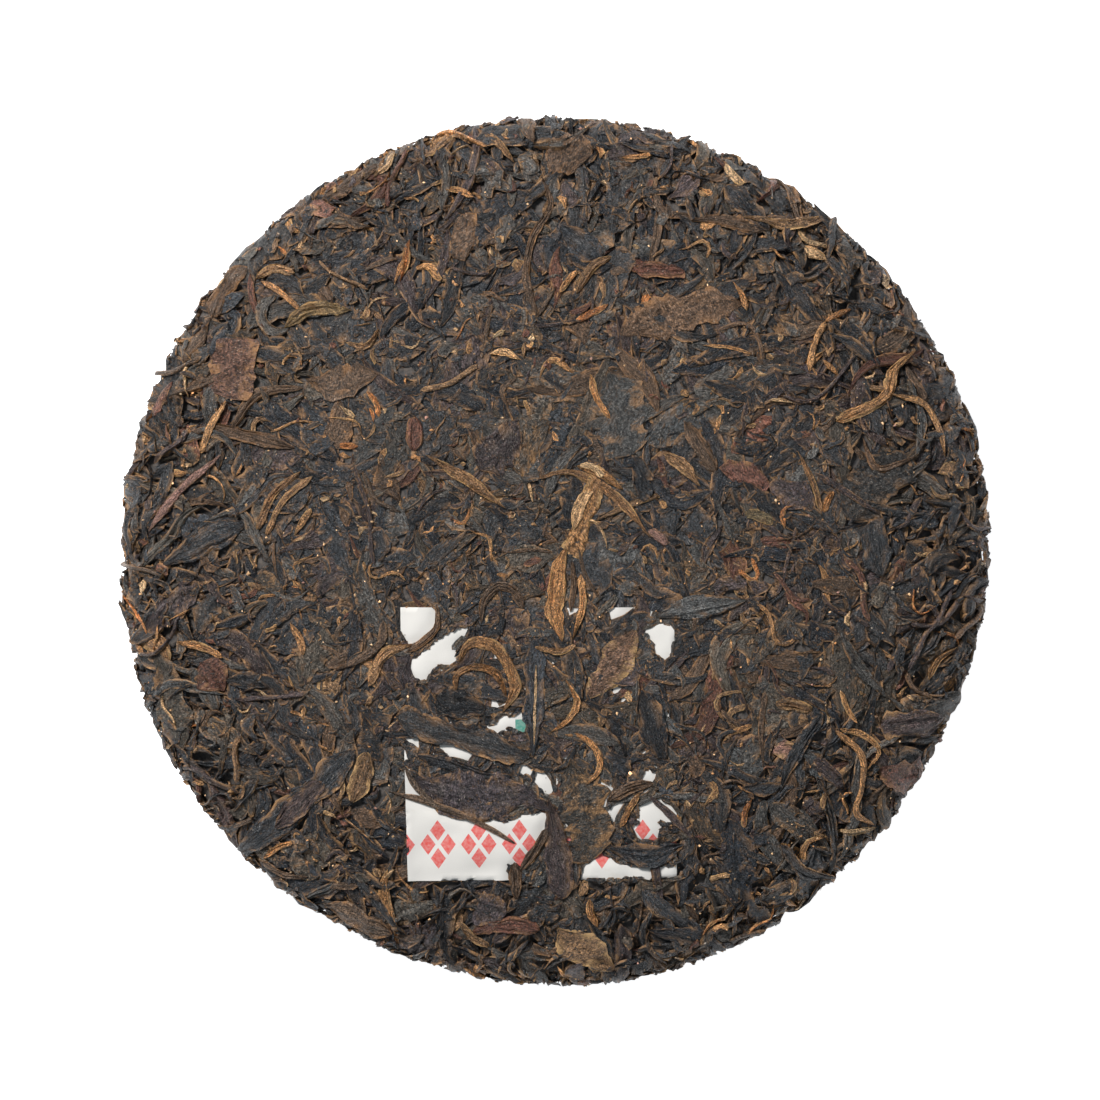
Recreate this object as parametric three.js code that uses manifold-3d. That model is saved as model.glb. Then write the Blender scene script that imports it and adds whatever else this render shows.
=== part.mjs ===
// A pressed cake of pu-erh tea with a square paper ticket caught under the leaves of its face.
// Millimetres, +Z up. The cake lies on its back with the domed face up, and the origin is the
// centre of the surface it lies on. +Y points to the top of the ticket.

import * as THREE from "three";
import { mergeVertices } from "three/addons/utils/BufferGeometryUtils.js";
import Module from "manifold-3d";

const wasm = await Module();
wasm.setup();

// Driving dimensions of the cake. The core is smaller than the cake by the leaves that stand out.
const CAKE_RADIUS = 100;
const CAKE_HEIGHT = 24.5;
const RIM_RELIEF = 1.5;
const FACE_RELIEF = 2.1;
const CORE_RADIUS = CAKE_RADIUS - RIM_RELIEF;
const CORE_TOP = CAKE_HEIGHT - FACE_RELIEF;
const CORE_BOTTOM = 0.8;
const RIM_HEIGHT = 8;
const FOOT_RADIUS = 85;
const DOME_POWER = 3.4;
const NAVEL_RADIUS = 31;
const NAVEL_DEPTH = 11;
const CORE_SECTORS = 36;
const CORE_DENTS = { depth: 0.35, alongX: 19, alongY: 23 };
const CORE_FACE_RADII = [0, 24, 46, 62, 74, 83, 90, 95, 98];
const CORE_BACK_RADII = [97, FOOT_RADIUS + 7, FOOT_RADIUS, 58, NAVEL_RADIUS, 21, 10, 0];
const SECTION_STEPS = 40;
const MERGE_DISTANCE = 1e-3;

// How far the rim strays from round: lobes round the cake, size, and direction of the first one.
const RIM_LOBES = [
  { count: 2, size: 0.2, towards: 90 },
  { count: 4, size: 0.35, towards: 57 },
  { count: 5, size: 0.25, towards: 25 },
];

// The ticket is a thin square of paper, and the leaves keep clear of it above and below.
const TICKET = { x: -3.8, y: -45, width: 63.8, depth: 62.9, turn: 1, thick: 0.4, lift: 0.35 };
const TICKET_CLEARANCE = 0.3;
const TICKET_CELLS = 8;
const TICKET_MARGIN = { leaves: 1, dents: 10 };
const COVER_LIFT = TICKET.lift + TICKET.thick + TICKET_CLEARANCE;

// Places where the paper shows between the leaves: centre, half sizes and turn.
const WINDOWS = [
  { x: -19.7, y: -69.5, along: 17, across: 6.5, turn: -2 },
  { x: 18, y: -73.6, along: 10, across: 2.4, turn: 2 },
  { x: -31.2, y: -17.4, along: 4, across: 4, turn: 0 },
  { x: -26.6, y: -23.7, along: 7, across: 3, turn: 38 },
  { x: 24.8, y: -21.2, along: 2.8, across: 3.8, turn: 0 },
  { x: 22.2, y: -59, along: 4.5, across: 3, turn: -20 },
];

// Leaves that stand out on the face, largest first: centre, length and width of each, its turn
// from +X and how far it bends from end to end, in degrees.
const FACE_LEAVES = [
  { x: -21.6, y: -56, length: 41, width: 9.5, turn: -12, bend: 26 },
  { x: -25.4, y: -40.6, length: 35, width: 7, turn: -12, bend: -8 },
  { x: -58.4, y: -56.7, length: 34, width: 7, turn: 41, bend: 10 },
  { x: 29.1, y: 53.2, length: 28, width: 12, turn: 12, bend: 30 },
  { x: 17.2, y: 30.9, length: 21, width: 12, turn: 76, bend: 8 },
  { x: 73.4, y: 14.7, length: 19, width: 12, turn: -50, bend: 0 },
  { x: 4.3, y: -2.5, length: 34, width: 5.5, turn: 82, bend: -14 },
  { x: 10.6, y: 13.2, length: 28, width: 3.2, turn: -26, bend: -42 },
  { x: 75.2, y: 34.8, length: 27, width: 3.4, turn: 42, bend: 46 },
  { x: -73.4, y: 41.7, length: 15, width: 10.5, turn: 86, bend: 0 },
  { x: -6.6, y: 25.1, length: 15, width: 11, turn: -30, bend: 0 },
  { x: 5, y: -56.7, length: 18, width: 11, turn: 88, bend: 8 },
  { x: -4, y: -34.8, length: 25, width: 5, turn: 88, bend: 4 },
  { x: 2.4, y: -71, length: 27, width: 5.6, turn: 86, bend: 8 },
  { x: -54.3, y: 54.1, length: 26, width: 3.6, turn: 9, bend: -24 },
  { x: -20.4, y: 15.7, length: 24, width: 3.2, turn: -34, bend: 12 },
  { x: 54.5, y: 74.6, length: 22, width: 3.4, turn: 3, bend: 14 },
  { x: 34.4, y: -14.3, length: 24, width: 4.2, turn: 8, bend: 10 },
  { x: 13.5, y: -25.6, length: 16, width: 8.5, turn: 64, bend: 0 },
  { x: -84.7, y: 12.9, length: 25, width: 2.4, turn: 48, bend: -12 },
  { x: -48.7, y: 39.4, length: 18, width: 7.5, turn: 10, bend: 0 },
  { x: 82.6, y: -40.6, length: 15, width: 6.5, turn: 9, bend: -14 },
  { x: 81, y: -52, length: 13, width: 8, turn: 16, bend: 0 },
  { x: 20.6, y: -69.8, length: 15, width: 4.6, turn: -9, bend: 10 },
  { x: 57.1, y: -47, length: 22, width: 3.2, turn: 61, bend: 8 },
  { x: 71.3, y: -25.6, length: 20, width: 3, turn: -56, bend: 14 },
  { x: 71.6, y: -46, length: 22, width: 2.2, turn: -80, bend: -40 },
  { x: -44.8, y: -84.8, length: 18, width: 5, turn: -26, bend: 10 },
  { x: 7.4, y: -91.8, length: 15, width: 7.5, turn: -8, bend: 12 },
  { x: -44.1, y: -52.3, length: 14, width: 5, turn: -75, bend: 12 },
  { x: -12.5, y: -16, length: 16, width: 4.4, turn: 76, bend: 24 },
];

// A bent ring of leaf, like a curled bud, that lies on the left half of the ticket.
const CURL = { x: -15.5, y: -28, radius: 6.6, width: 3, from: -75, sweep: 235, pieces: 3, overlap: 1.35 };

// Smaller leaves are strewn by a seeded rule over rings round a point: the face, the ticket, the
// rim and the back.
const STREWN = [
  { back: false, x: 0, y: 0, from: 6, to: 88, count: 64, seed: 11 },
  { back: false, x: TICKET.x, y: TICKET.y, from: 5, to: 41, count: 26, seed: 29 },
  { back: false, x: 0, y: 0, from: 90, to: 112, count: 30, seed: 23 },
  { back: true, x: 0, y: 0, from: 36, to: 92, count: 24, seed: 37 },
];
const STREWN_LENGTH = { least: 13, most: 27 };
const STREWN_WIDTH = { least: 3, most: 8 };
const STREWN_BEND = 50;

// How a leaf is formed: its thickness, the spacing of its rings, how its width tapers, how its ridge,
// middle line and sides wave, and how deep its tips dip. Then the height of its middle line.
const LEAF = { thick: 1.7, step: 8, wave: 0.25, dip: 0.9, roll: 0.12, ridge: 0.55, ridgeWave: 0.25 };
const LEAF_TAPER = { towardsTip: 2.4, fullness: 0.6 };
const LEAF_LIFT = { face: 0.35, back: 0.55, ticket: COVER_LIFT + 0.5, ticketWave: 0.2 };
const STRAIGHTEST_BEND = 0.01;
const GOLDEN_ANGLE = Math.PI * (3 - Math.sqrt(5));

function seededRandom(seed) {
  let state = seed;
  return () => {
    state = (state * 1664525 + 1013904223) % 4294967296;
    return state / 4294967296;
  };
}

// The core's section, as heights over the radius: the domed face, then the back with its navel.
function faceHeight(radius) {
  const share = Math.min(1, radius / CORE_RADIUS);
  return RIM_HEIGHT + (CORE_TOP - RIM_HEIGHT) * Math.sqrt(1 - share ** DOME_POWER);
}

function backHeight(radius) {
  if (radius > FOOT_RADIUS) {
    const out = Math.min(1, (radius - FOOT_RADIUS) / (CORE_RADIUS - FOOT_RADIUS));
    return CORE_BOTTOM + (RIM_HEIGHT - CORE_BOTTOM) * (1 - Math.sqrt(1 - out * out));
  }
  if (radius < NAVEL_RADIUS) {
    return CORE_BOTTOM + (NAVEL_DEPTH * (1 + Math.cos((Math.PI * radius) / NAVEL_RADIUS))) / 2;
  }
  return CORE_BOTTOM;
}

// The same section as one curve, from the middle of the face over the rim to the navel.
function sectionPoints(steps) {
  const points = [];
  for (let i = 0; i <= steps; i++) {
    const radius = CORE_RADIUS * Math.sin((Math.PI / 2) * (i / steps));
    points.push(new THREE.Vector2(radius, faceHeight(radius)));
  }
  for (let i = steps - 1; i >= 0; i--) {
    const radius = CORE_RADIUS * Math.sin((Math.PI / 2) * (i / steps));
    points.push(new THREE.Vector2(radius, backHeight(radius)));
  }
  return points;
}

const section = new THREE.SplineCurve(sectionPoints(SECTION_STEPS));
section.arcLengthDivisions = 20 * SECTION_STEPS;
const sectionLength = section.getLength();

function rimStray(angle) {
  let stray = 0;
  for (const lobe of RIM_LOBES) {
    stray += lobe.size * Math.cos(lobe.count * angle - THREE.MathUtils.degToRad(lobe.towards));
  }
  return stray;
}

// A place on the cake at (x, y) on the skin of its face, or of its back, rolled out flat from the
// middle, and raised by height along the outward normal. The back's skin is seen from inside.
function onSkin(x, y, height, back) {
  const reach = Math.hypot(x, y);
  const angle = Math.atan2(y, x);
  const share = THREE.MathUtils.clamp(reach / sectionLength, 0, 1);
  const place = back ? 1 - share : share;
  const at = section.getPointAt(place);
  const along = section.getTangentAt(place);
  const radius = at.x * (1 + rimStray(angle) / CORE_RADIUS) - along.y * height;
  return new THREE.Vector3(radius * Math.cos(angle), radius * Math.sin(angle), at.y + along.x * height);
}

function solidFrom(geometry) {
  const bare = geometry.clone();
  bare.deleteAttribute("normal");
  bare.deleteAttribute("uv");
  const merged = mergeVertices(bare, MERGE_DISTANCE);
  return new wasm.Manifold(
    new wasm.Mesh({
      numProp: 3,
      vertProperties: merged.attributes.position.array,
      triVerts: new Uint32Array(merged.index.array),
    }),
  );
}

function geometryFrom(solid) {
  const mesh = solid.getMesh();
  const geometry = new THREE.BufferGeometry();
  geometry.setAttribute("position", new THREE.BufferAttribute(mesh.vertProperties, 3));
  geometry.setIndex(new THREE.BufferAttribute(mesh.triVerts, 1));
  return geometry;
}

function inRotated(spot, x, y) {
  const turn = THREE.MathUtils.degToRad(spot.turn);
  const dx = x - spot.x;
  const dy = y - spot.y;
  return [dx * Math.cos(turn) + dy * Math.sin(turn), dy * Math.cos(turn) - dx * Math.sin(turn)];
}

function overTicket(x, y, margin) {
  const [along, across] = inRotated(TICKET, x, y);
  return Math.abs(along) < TICKET.width / 2 + margin && Math.abs(across) < TICKET.depth / 2 + margin;
}

function inWindow(x, y, margin) {
  return WINDOWS.some((window) => {
    const [along, across] = inRotated(window, x, y);
    return Math.hypot(along / (window.along + margin), across / (window.across + margin)) < 1;
  });
}

// The pressed body between the leaves: a turned solid with shallow dents, except under the ticket.
function coreGeometry() {
  const face = CORE_FACE_RADII.map((radius) => new THREE.Vector2(radius, faceHeight(radius)));
  const back = CORE_BACK_RADII.map((radius) => new THREE.Vector2(radius, backHeight(radius)));
  const profile = [...face, new THREE.Vector2(CORE_RADIUS, RIM_HEIGHT), ...back].reverse();
  const turned = new THREE.LatheGeometry(profile, CORE_SECTORS);
  turned.rotateX(Math.PI / 2);
  turned.deleteAttribute("normal");
  turned.deleteAttribute("uv");
  const geometry = mergeVertices(turned, MERGE_DISTANCE);
  const position = geometry.attributes.position;
  for (let i = 0; i < position.count; i++) {
    const [x, y, z] = [position.getX(i), position.getY(i), position.getZ(i)];
    const radius = Math.hypot(x, y);
    const stretch = 1 + rimStray(Math.atan2(y, x)) / CORE_RADIUS;
    const wave = Math.sin(x / CORE_DENTS.alongX) * Math.sin(y / CORE_DENTS.alongY);
    const dent = overTicket(x, y, TICKET_MARGIN.dents) ? 0 : CORE_DENTS.depth * wave;
    const outward = radius > FOOT_RADIUS ? dent / CORE_RADIUS : 0;
    position.setXYZ(i, x * (stretch + outward), y * (stretch + outward), z > CORE_BOTTOM ? z + dent : z);
  }
  return geometry;
}

// A closed strip from rings of four points each (left, ridge, right, keel), with a point at each end.
function stripGeometry(rings, firstTip, lastTip) {
  const vertices = [firstTip, ...rings.flat(), lastTip];
  const faces = [];
  const corner = (ring, side) => 1 + 4 * ring + (side % 4);
  const last = vertices.length - 1;
  for (let side = 0; side < 4; side++) {
    faces.push(0, corner(0, side + 1), corner(0, side));
    for (let ring = 0; ring + 1 < rings.length; ring++) {
      const [a, b] = [corner(ring, side), corner(ring, side + 1)];
      const [c, d] = [corner(ring + 1, side), corner(ring + 1, side + 1)];
      faces.push(a, b, c, b, d, c);
    }
    faces.push(last, corner(rings.length - 1, side), corner(rings.length - 1, side + 1));
  }
  const geometry = new THREE.BufferGeometry().setFromPoints(vertices);
  geometry.setIndex(faces);
  return geometry;
}

// Points, headings and widths of a leaf along its middle line, an arc on the rolled-out skin. They
// lie closer together towards the tips.
function leafLine(leaf, rings) {
  const turn = THREE.MathUtils.degToRad(leaf.turn);
  const bend = THREE.MathUtils.degToRad(leaf.bend || STRAIGHTEST_BEND);
  const arc = leaf.length / bend;
  const stations = [];
  for (let i = 0; i <= rings + 1; i++) {
    const share = -0.5 * Math.cos((Math.PI * i) / (rings + 1));
    const heading = turn + bend * share;
    const taper = (1 - Math.abs(2 * share) ** LEAF_TAPER.towardsTip) ** LEAF_TAPER.fullness;
    stations.push({
      share,
      heading,
      x: leaf.x + arc * (Math.sin(heading) - Math.sin(turn)),
      y: leaf.y - arc * (Math.cos(heading) - Math.cos(turn)),
      width: leaf.width * taper,
    });
  }
  return stations;
}

// One pressed leaf: it tapers to both ends, waves a little, and dips into the cake at its tips
// unless it lies on the ticket, where it stays above the paper.
function leafSolid(leaf) {
  const rings = THREE.MathUtils.clamp(Math.round(leaf.length / LEAF.step), 2, 5);
  const stations = leafLine(leaf, rings);
  const height = (station) => {
    if (!leaf.back && overTicket(station.x, station.y, TICKET_MARGIN.leaves)) {
      return LEAF_LIFT.ticket + LEAF_LIFT.ticketWave * Math.sin(3 * leaf.x + leaf.y);
    }
    const dip = LEAF.dip * Math.abs(2 * station.share) ** 3;
    const wave = LEAF.wave * Math.sin(9 * station.share + leaf.x);
    return (leaf.back ? LEAF_LIFT.back : LEAF_LIFT.face) + wave - dip;
  };
  const rolled = LEAF.roll * Math.sin(leaf.y + leaf.turn);
  const hand = leaf.back ? -1 : 1;
  const ringAt = (station) => {
    const middle = height(station);
    const [sideX, sideY] = [-hand * Math.sin(station.heading), hand * Math.cos(station.heading)];
    const point = (across, up) =>
      onSkin(station.x + sideX * across, station.y + sideY * across, middle + up, leaf.back);
    const half = station.width / 2;
    const ridge = LEAF.thick * (LEAF.ridge + LEAF.ridgeWave * Math.cos(12 * station.share));
    return [
      point(half, half * rolled),
      point(0, ridge),
      point(-half, -half * rolled),
      point(0, -LEAF.thick / 3),
    ];
  };
  const tipAt = (station) => onSkin(station.x, station.y, height(station), leaf.back);
  const inner = stations.slice(1, -1).map(ringAt);
  return solidFrom(stripGeometry(inner, tipAt(stations[0]), tipAt(stations[rings + 1])));
}

// Leaves strewn evenly over a ring of the skin, by the golden angle, with seeded sizes and turns.
function strewnLeaves({ back, x, y, from, to, count, seed }) {
  const random = seededRandom(seed);
  const between = ({ least, most }) => least + (most - least) * random() ** 1.5;
  const leaves = [];
  for (let i = 0; i < count; i++) {
    const reach = Math.sqrt(from ** 2 + (to ** 2 - from ** 2) * ((i + 0.5) / count));
    const angle = i * GOLDEN_ANGLE + seed;
    leaves.push({
      x: x + reach * Math.cos(angle),
      y: y + reach * Math.sin(angle),
      length: between(STREWN_LENGTH),
      width: between(STREWN_WIDTH),
      turn: 360 * random(),
      bend: STREWN_BEND * (2 * random() - 1),
      back,
    });
  }
  return leaves;
}

// A leaf is dropped where it would cover a place in which the paper shows.
function hidesPaper(leaf) {
  return !leaf.back && leafLine(leaf, 7).some((station) => inWindow(station.x, station.y, leaf.width / 3));
}

// The curled bud: short leaves end to end round an arc, each overlapping the next.
function curlLeaves() {
  const sweep = CURL.sweep / CURL.pieces;
  const leaves = [];
  for (let i = 0; i < CURL.pieces; i++) {
    const middle = THREE.MathUtils.degToRad(CURL.from + sweep * (i + 0.5));
    leaves.push({
      x: CURL.x + CURL.radius * Math.cos(middle),
      y: CURL.y + CURL.radius * Math.sin(middle),
      length: CURL.overlap * CURL.radius * THREE.MathUtils.degToRad(sweep),
      width: CURL.width,
      turn: CURL.from + sweep * (i + 0.5) + 90,
      bend: CURL.overlap * sweep,
    });
  }
  return leaves;
}

// A curved sheet of the ticket's size grown by a margin, between two heights over the core.
function ticketSheet(margin, low, high) {
  const cells = TICKET_CELLS;
  const turn = THREE.MathUtils.degToRad(TICKET.turn);
  const place = (i, j, height) => {
    const along = (i / cells - 0.5) * (TICKET.width + 2 * margin);
    const across = (j / cells - 0.5) * (TICKET.depth + 2 * margin);
    const x = TICKET.x + along * Math.cos(turn) - across * Math.sin(turn);
    const y = TICKET.y + along * Math.sin(turn) + across * Math.cos(turn);
    return new THREE.Vector3(x, y, faceHeight(Math.hypot(x, y)) + height);
  };
  const points = [];
  for (const height of [low, high]) {
    for (let j = 0; j <= cells; j++) {
      for (let i = 0; i <= cells; i++) {
        points.push(place(i, j, height));
      }
    }
  }
  const layer = (cells + 1) ** 2;
  const at = (i, j) => j * (cells + 1) + i;
  const faces = [];
  for (let j = 0; j < cells; j++) {
    for (let i = 0; i < cells; i++) {
      const [a, b, c, d] = [at(i, j), at(i + 1, j), at(i + 1, j + 1), at(i, j + 1)];
      faces.push(layer + a, layer + b, layer + c, layer + a, layer + c, layer + d);
      faces.push(a, c, b, a, d, c);
    }
  }
  const wall = (a, b) => faces.push(a, b, layer + b, a, layer + b, layer + a);
  for (let k = 0; k < cells; k++) {
    wall(at(k, 0), at(k + 1, 0));
    wall(at(cells, k), at(cells, k + 1));
    wall(at(cells - k, cells), at(cells - k - 1, cells));
    wall(at(0, cells - k), at(0, cells - k - 1));
  }
  const geometry = new THREE.BufferGeometry().setFromPoints(points);
  geometry.setIndex(faces);
  return geometry;
}

// Everything above the surface that the cake was pressed on.
function aboveTheBoard() {
  const side = 3 * CAKE_RADIUS;
  return solidFrom(new THREE.BoxGeometry(side, side, side).translate(0, 0, side / 2));
}

// The largest piece of a solid, without loose scraps and with sealed hollows filled. A hollow that
// meets the outside in one corner only comes apart once that corner is merged, so it takes two goes.
function largestPiece(solid) {
  const largest = (pieces) =>
    pieces.reduce((best, piece) => (piece.volume() > best.volume() ? piece : best));
  return largest(solidFrom(geometryFrom(largest(solid.decompose()))).decompose());
}

function cakeGeometry() {
  const strewn = STREWN.flatMap(strewnLeaves).filter((leaf) => !hidesPaper(leaf));
  const leaves = [...FACE_LEAVES, ...curlLeaves(), ...strewn];
  let cake = solidFrom(coreGeometry());
  for (const leaf of leaves) {
    cake = cake.add(leafSolid(leaf));
  }
  const low = TICKET.lift - TICKET_CLEARANCE;
  const high = TICKET.lift + TICKET.thick + TICKET_CLEARANCE;
  const slot = solidFrom(ticketSheet(TICKET_CLEARANCE, low, high));
  return geometryFrom(largestPiece(cake.subtract(slot).intersect(aboveTheBoard())));
}

function namedMesh(name, geometry, look) {
  geometry.computeVertexNormals();
  const mesh = new THREE.Mesh(geometry, new THREE.MeshStandardMaterial(look));
  mesh.name = name;
  return mesh;
}

const teaCake = new THREE.Group();
teaCake.add(
  namedMesh("pressed_leaves", cakeGeometry(), { color: 0x51463f, roughness: 0.75, metalness: 0 }),
  namedMesh("ticket", ticketSheet(0, TICKET.lift, TICKET.lift + TICKET.thick), {
    color: 0xe9e4de,
    roughness: 0.85,
    metalness: 0,
  }),
);

export default teaCake;
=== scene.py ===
import functools
import math

import bpy
import numpy as np
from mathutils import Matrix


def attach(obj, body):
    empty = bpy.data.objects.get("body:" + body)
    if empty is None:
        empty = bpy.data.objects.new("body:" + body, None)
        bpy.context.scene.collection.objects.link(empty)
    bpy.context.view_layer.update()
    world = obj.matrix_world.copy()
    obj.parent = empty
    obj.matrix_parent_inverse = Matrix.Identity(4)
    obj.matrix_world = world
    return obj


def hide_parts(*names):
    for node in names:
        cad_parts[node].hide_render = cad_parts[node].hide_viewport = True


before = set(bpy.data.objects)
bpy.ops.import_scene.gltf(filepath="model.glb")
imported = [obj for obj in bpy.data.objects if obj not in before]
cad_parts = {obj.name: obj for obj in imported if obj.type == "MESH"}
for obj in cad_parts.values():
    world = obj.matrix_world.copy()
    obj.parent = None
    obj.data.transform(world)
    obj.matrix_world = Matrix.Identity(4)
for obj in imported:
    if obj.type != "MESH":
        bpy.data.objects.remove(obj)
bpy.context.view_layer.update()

# A pressed cake of pu-erh tea. Its leaves are laid one by one on a core, from the lowest to the
# topmost, then pressed together. A place on the cake is given as (u, v) on its skin, rolled out
# flat from the middle of the face or of the back, and a height over the core. Millimetres, until
# the meshes are made in metres.
MM = 0.001
SEED = 2024

# The core's section, as in the CAD model.
CORE_RADIUS = 98.5
CORE_TOP = 22.4
CORE_BOTTOM = 0.8
RIM_HEIGHT = 8.0
FOOT_RADIUS = 85.0
DOME_POWER = 3.4
NAVEL_RADIUS = 31.0
NAVEL_DEPTH = 11.0
RIM_LOBES = ((2, 0.2, 90), (4, 0.35, 57), (5, 0.25, 25))
SECTION_STEPS = 600

# The camera looks straight down. The cake's centre and scale in the photo, measured at the rim.
PHOTO_SIDE = 1100
PHOTO_CENTRE = (554.0, 551.0)
PHOTO_MM_PER_PIXEL = 0.2304
LENS = 135.0
SENSOR = 36.0
FRAME_WIDTH = PHOTO_SIDE * PHOTO_MM_PER_PIXEL
CAMERA_DISTANCE = FRAME_WIDTH * LENS / SENSOR


def face_height(radius):
    share = np.minimum(1, radius / CORE_RADIUS)
    return RIM_HEIGHT + (CORE_TOP - RIM_HEIGHT) * np.sqrt(1 - share**DOME_POWER)


def back_height(radius):
    out = np.clip((radius - FOOT_RADIUS) / (CORE_RADIUS - FOOT_RADIUS), 0, 1)
    foot = (RIM_HEIGHT - CORE_BOTTOM) * (1 - np.sqrt(1 - out * out))
    inside = np.minimum(1, radius / NAVEL_RADIUS)
    navel = NAVEL_DEPTH * (1 + np.cos(math.pi * inside)) / 2
    return CORE_BOTTOM + foot + navel


plan_radii = CORE_RADIUS * np.sin(np.linspace(0, math.pi / 2, SECTION_STEPS))
section_r = np.concatenate([plan_radii, plan_radii[-2::-1]])
section_z = np.concatenate([face_height(plan_radii), back_height(plan_radii[-2::-1])])
section_arc = np.concatenate([[0], np.cumsum(np.hypot(np.diff(section_r), np.diff(section_z)))])
section_tr = np.gradient(section_r, section_arc)
section_tz = np.gradient(section_z, section_arc)
FACE_ARC = section_arc[SECTION_STEPS - 1]
BACK_ARC = section_arc[-1] - FACE_ARC


def rim_stray(angle):
    stray = 0
    for count, size, towards in RIM_LOBES:
        stray = stray + size * np.cos(count * angle - math.radians(towards))
    return stray


def on_skin(u, v, height, back):
    """The points of the cake at (u, v) on the skin of its face or back, at a height over the core."""
    reach = np.hypot(u, v)
    angle = np.arctan2(v, u)
    arc = section_arc[-1] - reach if back else reach
    tangent_r = np.interp(arc, section_arc, section_tr)
    tangent_z = np.interp(arc, section_arc, section_tz)
    stretch = 1 + rim_stray(angle) / CORE_RADIUS
    radius = np.interp(arc, section_arc, section_r) * stretch - tangent_z * height
    z = np.interp(arc, section_arc, section_z) + tangent_r * height
    return np.stack([radius * np.cos(angle), radius * np.sin(angle), z], axis=-1)


def from_photo(px, py):
    """(u, v) on the face for a pixel of the photo, which shows what is nearer the camera larger."""
    x = (np.asarray(px, float) - PHOTO_CENTRE[0]) * PHOTO_MM_PER_PIXEL
    y = (PHOTO_CENTRE[1] - np.asarray(py, float)) * PHOTO_MM_PER_PIXEL
    radius = np.hypot(x, y)
    nearer = (face_height(radius) + FACE_PRESS["level"] - RIM_HEIGHT) / CAMERA_DISTANCE
    radius = radius * (1 - nearer)
    reach = np.interp(radius, plan_radii, section_arc[:SECTION_STEPS])
    scale = reach / np.maximum(radius, 1e-6) * (1 - nearer)
    return x * scale, y * scale


# How leaves lie once pressed: their level over the core, the share of the pile's broader lumps
# that is left, and how far a leaf rises over its neighbours or sinks between them before that is
# pressed too. Of two values, the first is for the firm middle and the second for the loose edge.
# A reach is a distance from the middle along the skin: the cake is firm up to the first one and
# loosest at the second, and its wall begins at the third.
FACE_PRESS = {"level": 1.15, "lumps": (0.2, 0.5), "rise": (0.26, 0.8), "sink": (0.5, 2.0)}
BACK_PRESS = {"level": 0.25, "lumps": (0.1, 0.2), "rise": (0.16, 0.3), "sink": (0.3, 0.8)}
FIRM_REACH = 60.0
LOOSE_REACH = 94.0
WALL_REACH = 99.0
WALL_LOOSE = 0.62
# The widths over which the pile's height is averaged, and the cells of its grid.
LEAF_SCALE = 2.0
LUMP_SCALE = 9.0
CELL = 0.4


def soften(field, width, passes=3):
    """The field averaged over a square of that width in millimetres, a few times over."""
    half = max(1, int(round(width / CELL / 2)))
    for _ in range(passes):
        for axis in (0, 1):
            padding = [(half + 1, half) if side == axis else (0, 0) for side in (0, 1)]
            total = np.cumsum(np.pad(field, padding, mode="edge"), axis=axis)
            high = np.take(total, np.arange(2 * half + 1, total.shape[axis]), axis=axis)
            low = np.take(total, np.arange(0, total.shape[axis] - 2 * half - 1), axis=axis)
            field = (high - low) / (2 * half + 1)
    return field


def spread(field, width):
    """The highest value of the field within half that width in millimetres."""
    for _ in range(int(round(width / CELL / 2))):
        for axis in (0, 1):
            around = [np.roll(field, step, axis=axis) for step in (-1, 0, 1)]
            field = np.maximum.reduce(around)
    return field


class Pile:
    """The height of what lies on one side of the core, over a grid on its skin.

    Leaves keep off its bare places, and what the ticket covers stays under its lid."""

    def __init__(self, reach, back, pressing):
        self.reach = reach
        self.back = back
        self.pressing = pressing
        self.count = int(2 * reach / CELL) + 1
        self.height = np.zeros((self.count, self.count))
        axis = -reach + CELL * np.arange(self.count)
        self.u, self.v = np.meshgrid(axis, axis)
        self.inside = np.hypot(self.u, self.v) < reach
        self.bare = np.zeros((self.count, self.count), bool)
        self.lid = np.full((self.count, self.count), np.inf)

    def cells(self, u, v):
        i = np.clip(np.rint((v + self.reach) / CELL), 0, self.count - 1).astype(int)
        j = np.clip(np.rint((u + self.reach) / CELL), 0, self.count - 1).astype(int)
        return i, j

    def at(self, u, v):
        return self.height[self.cells(u, v)]

    def cover(self, u, v, height):
        np.maximum.at(self.height, self.cells(u, v), height)

    def settle(self):
        """Works out how the finished pile is pressed."""
        inside = self.inside.astype(float)
        self.local, broad = (
            soften(self.height * inside, scale) / np.maximum(soften(inside, scale), 1e-3)
            for scale in (LEAF_SCALE, LUMP_SCALE)
        )
        self.lumps = self.local - broad

    def looseness(self, u, v):
        reach = [0, FIRM_REACH, LOOSE_REACH, WALL_REACH, 2 * WALL_REACH]
        return np.interp(np.hypot(u, v), reach, [0, 0, 1, WALL_LOOSE, WALL_LOOSE])

    def press(self, u, v, height):
        """Heights over the core after pressing, in the same order as before."""
        loose = self.looseness(u, v) ** 2
        lumps, rise, sink = (self.pressing[key][0] * (1 - loose) + self.pressing[key][1] * loose
                             for key in ("lumps", "rise", "sink"))
        cells = self.cells(u, v)
        over = height - self.local[cells]
        bent = np.where(over > 0, rise * np.arcsinh(over / rise), sink * np.arcsinh(over / sink))
        return self.pressing["level"] + lumps * self.lumps[cells] + bent


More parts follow.
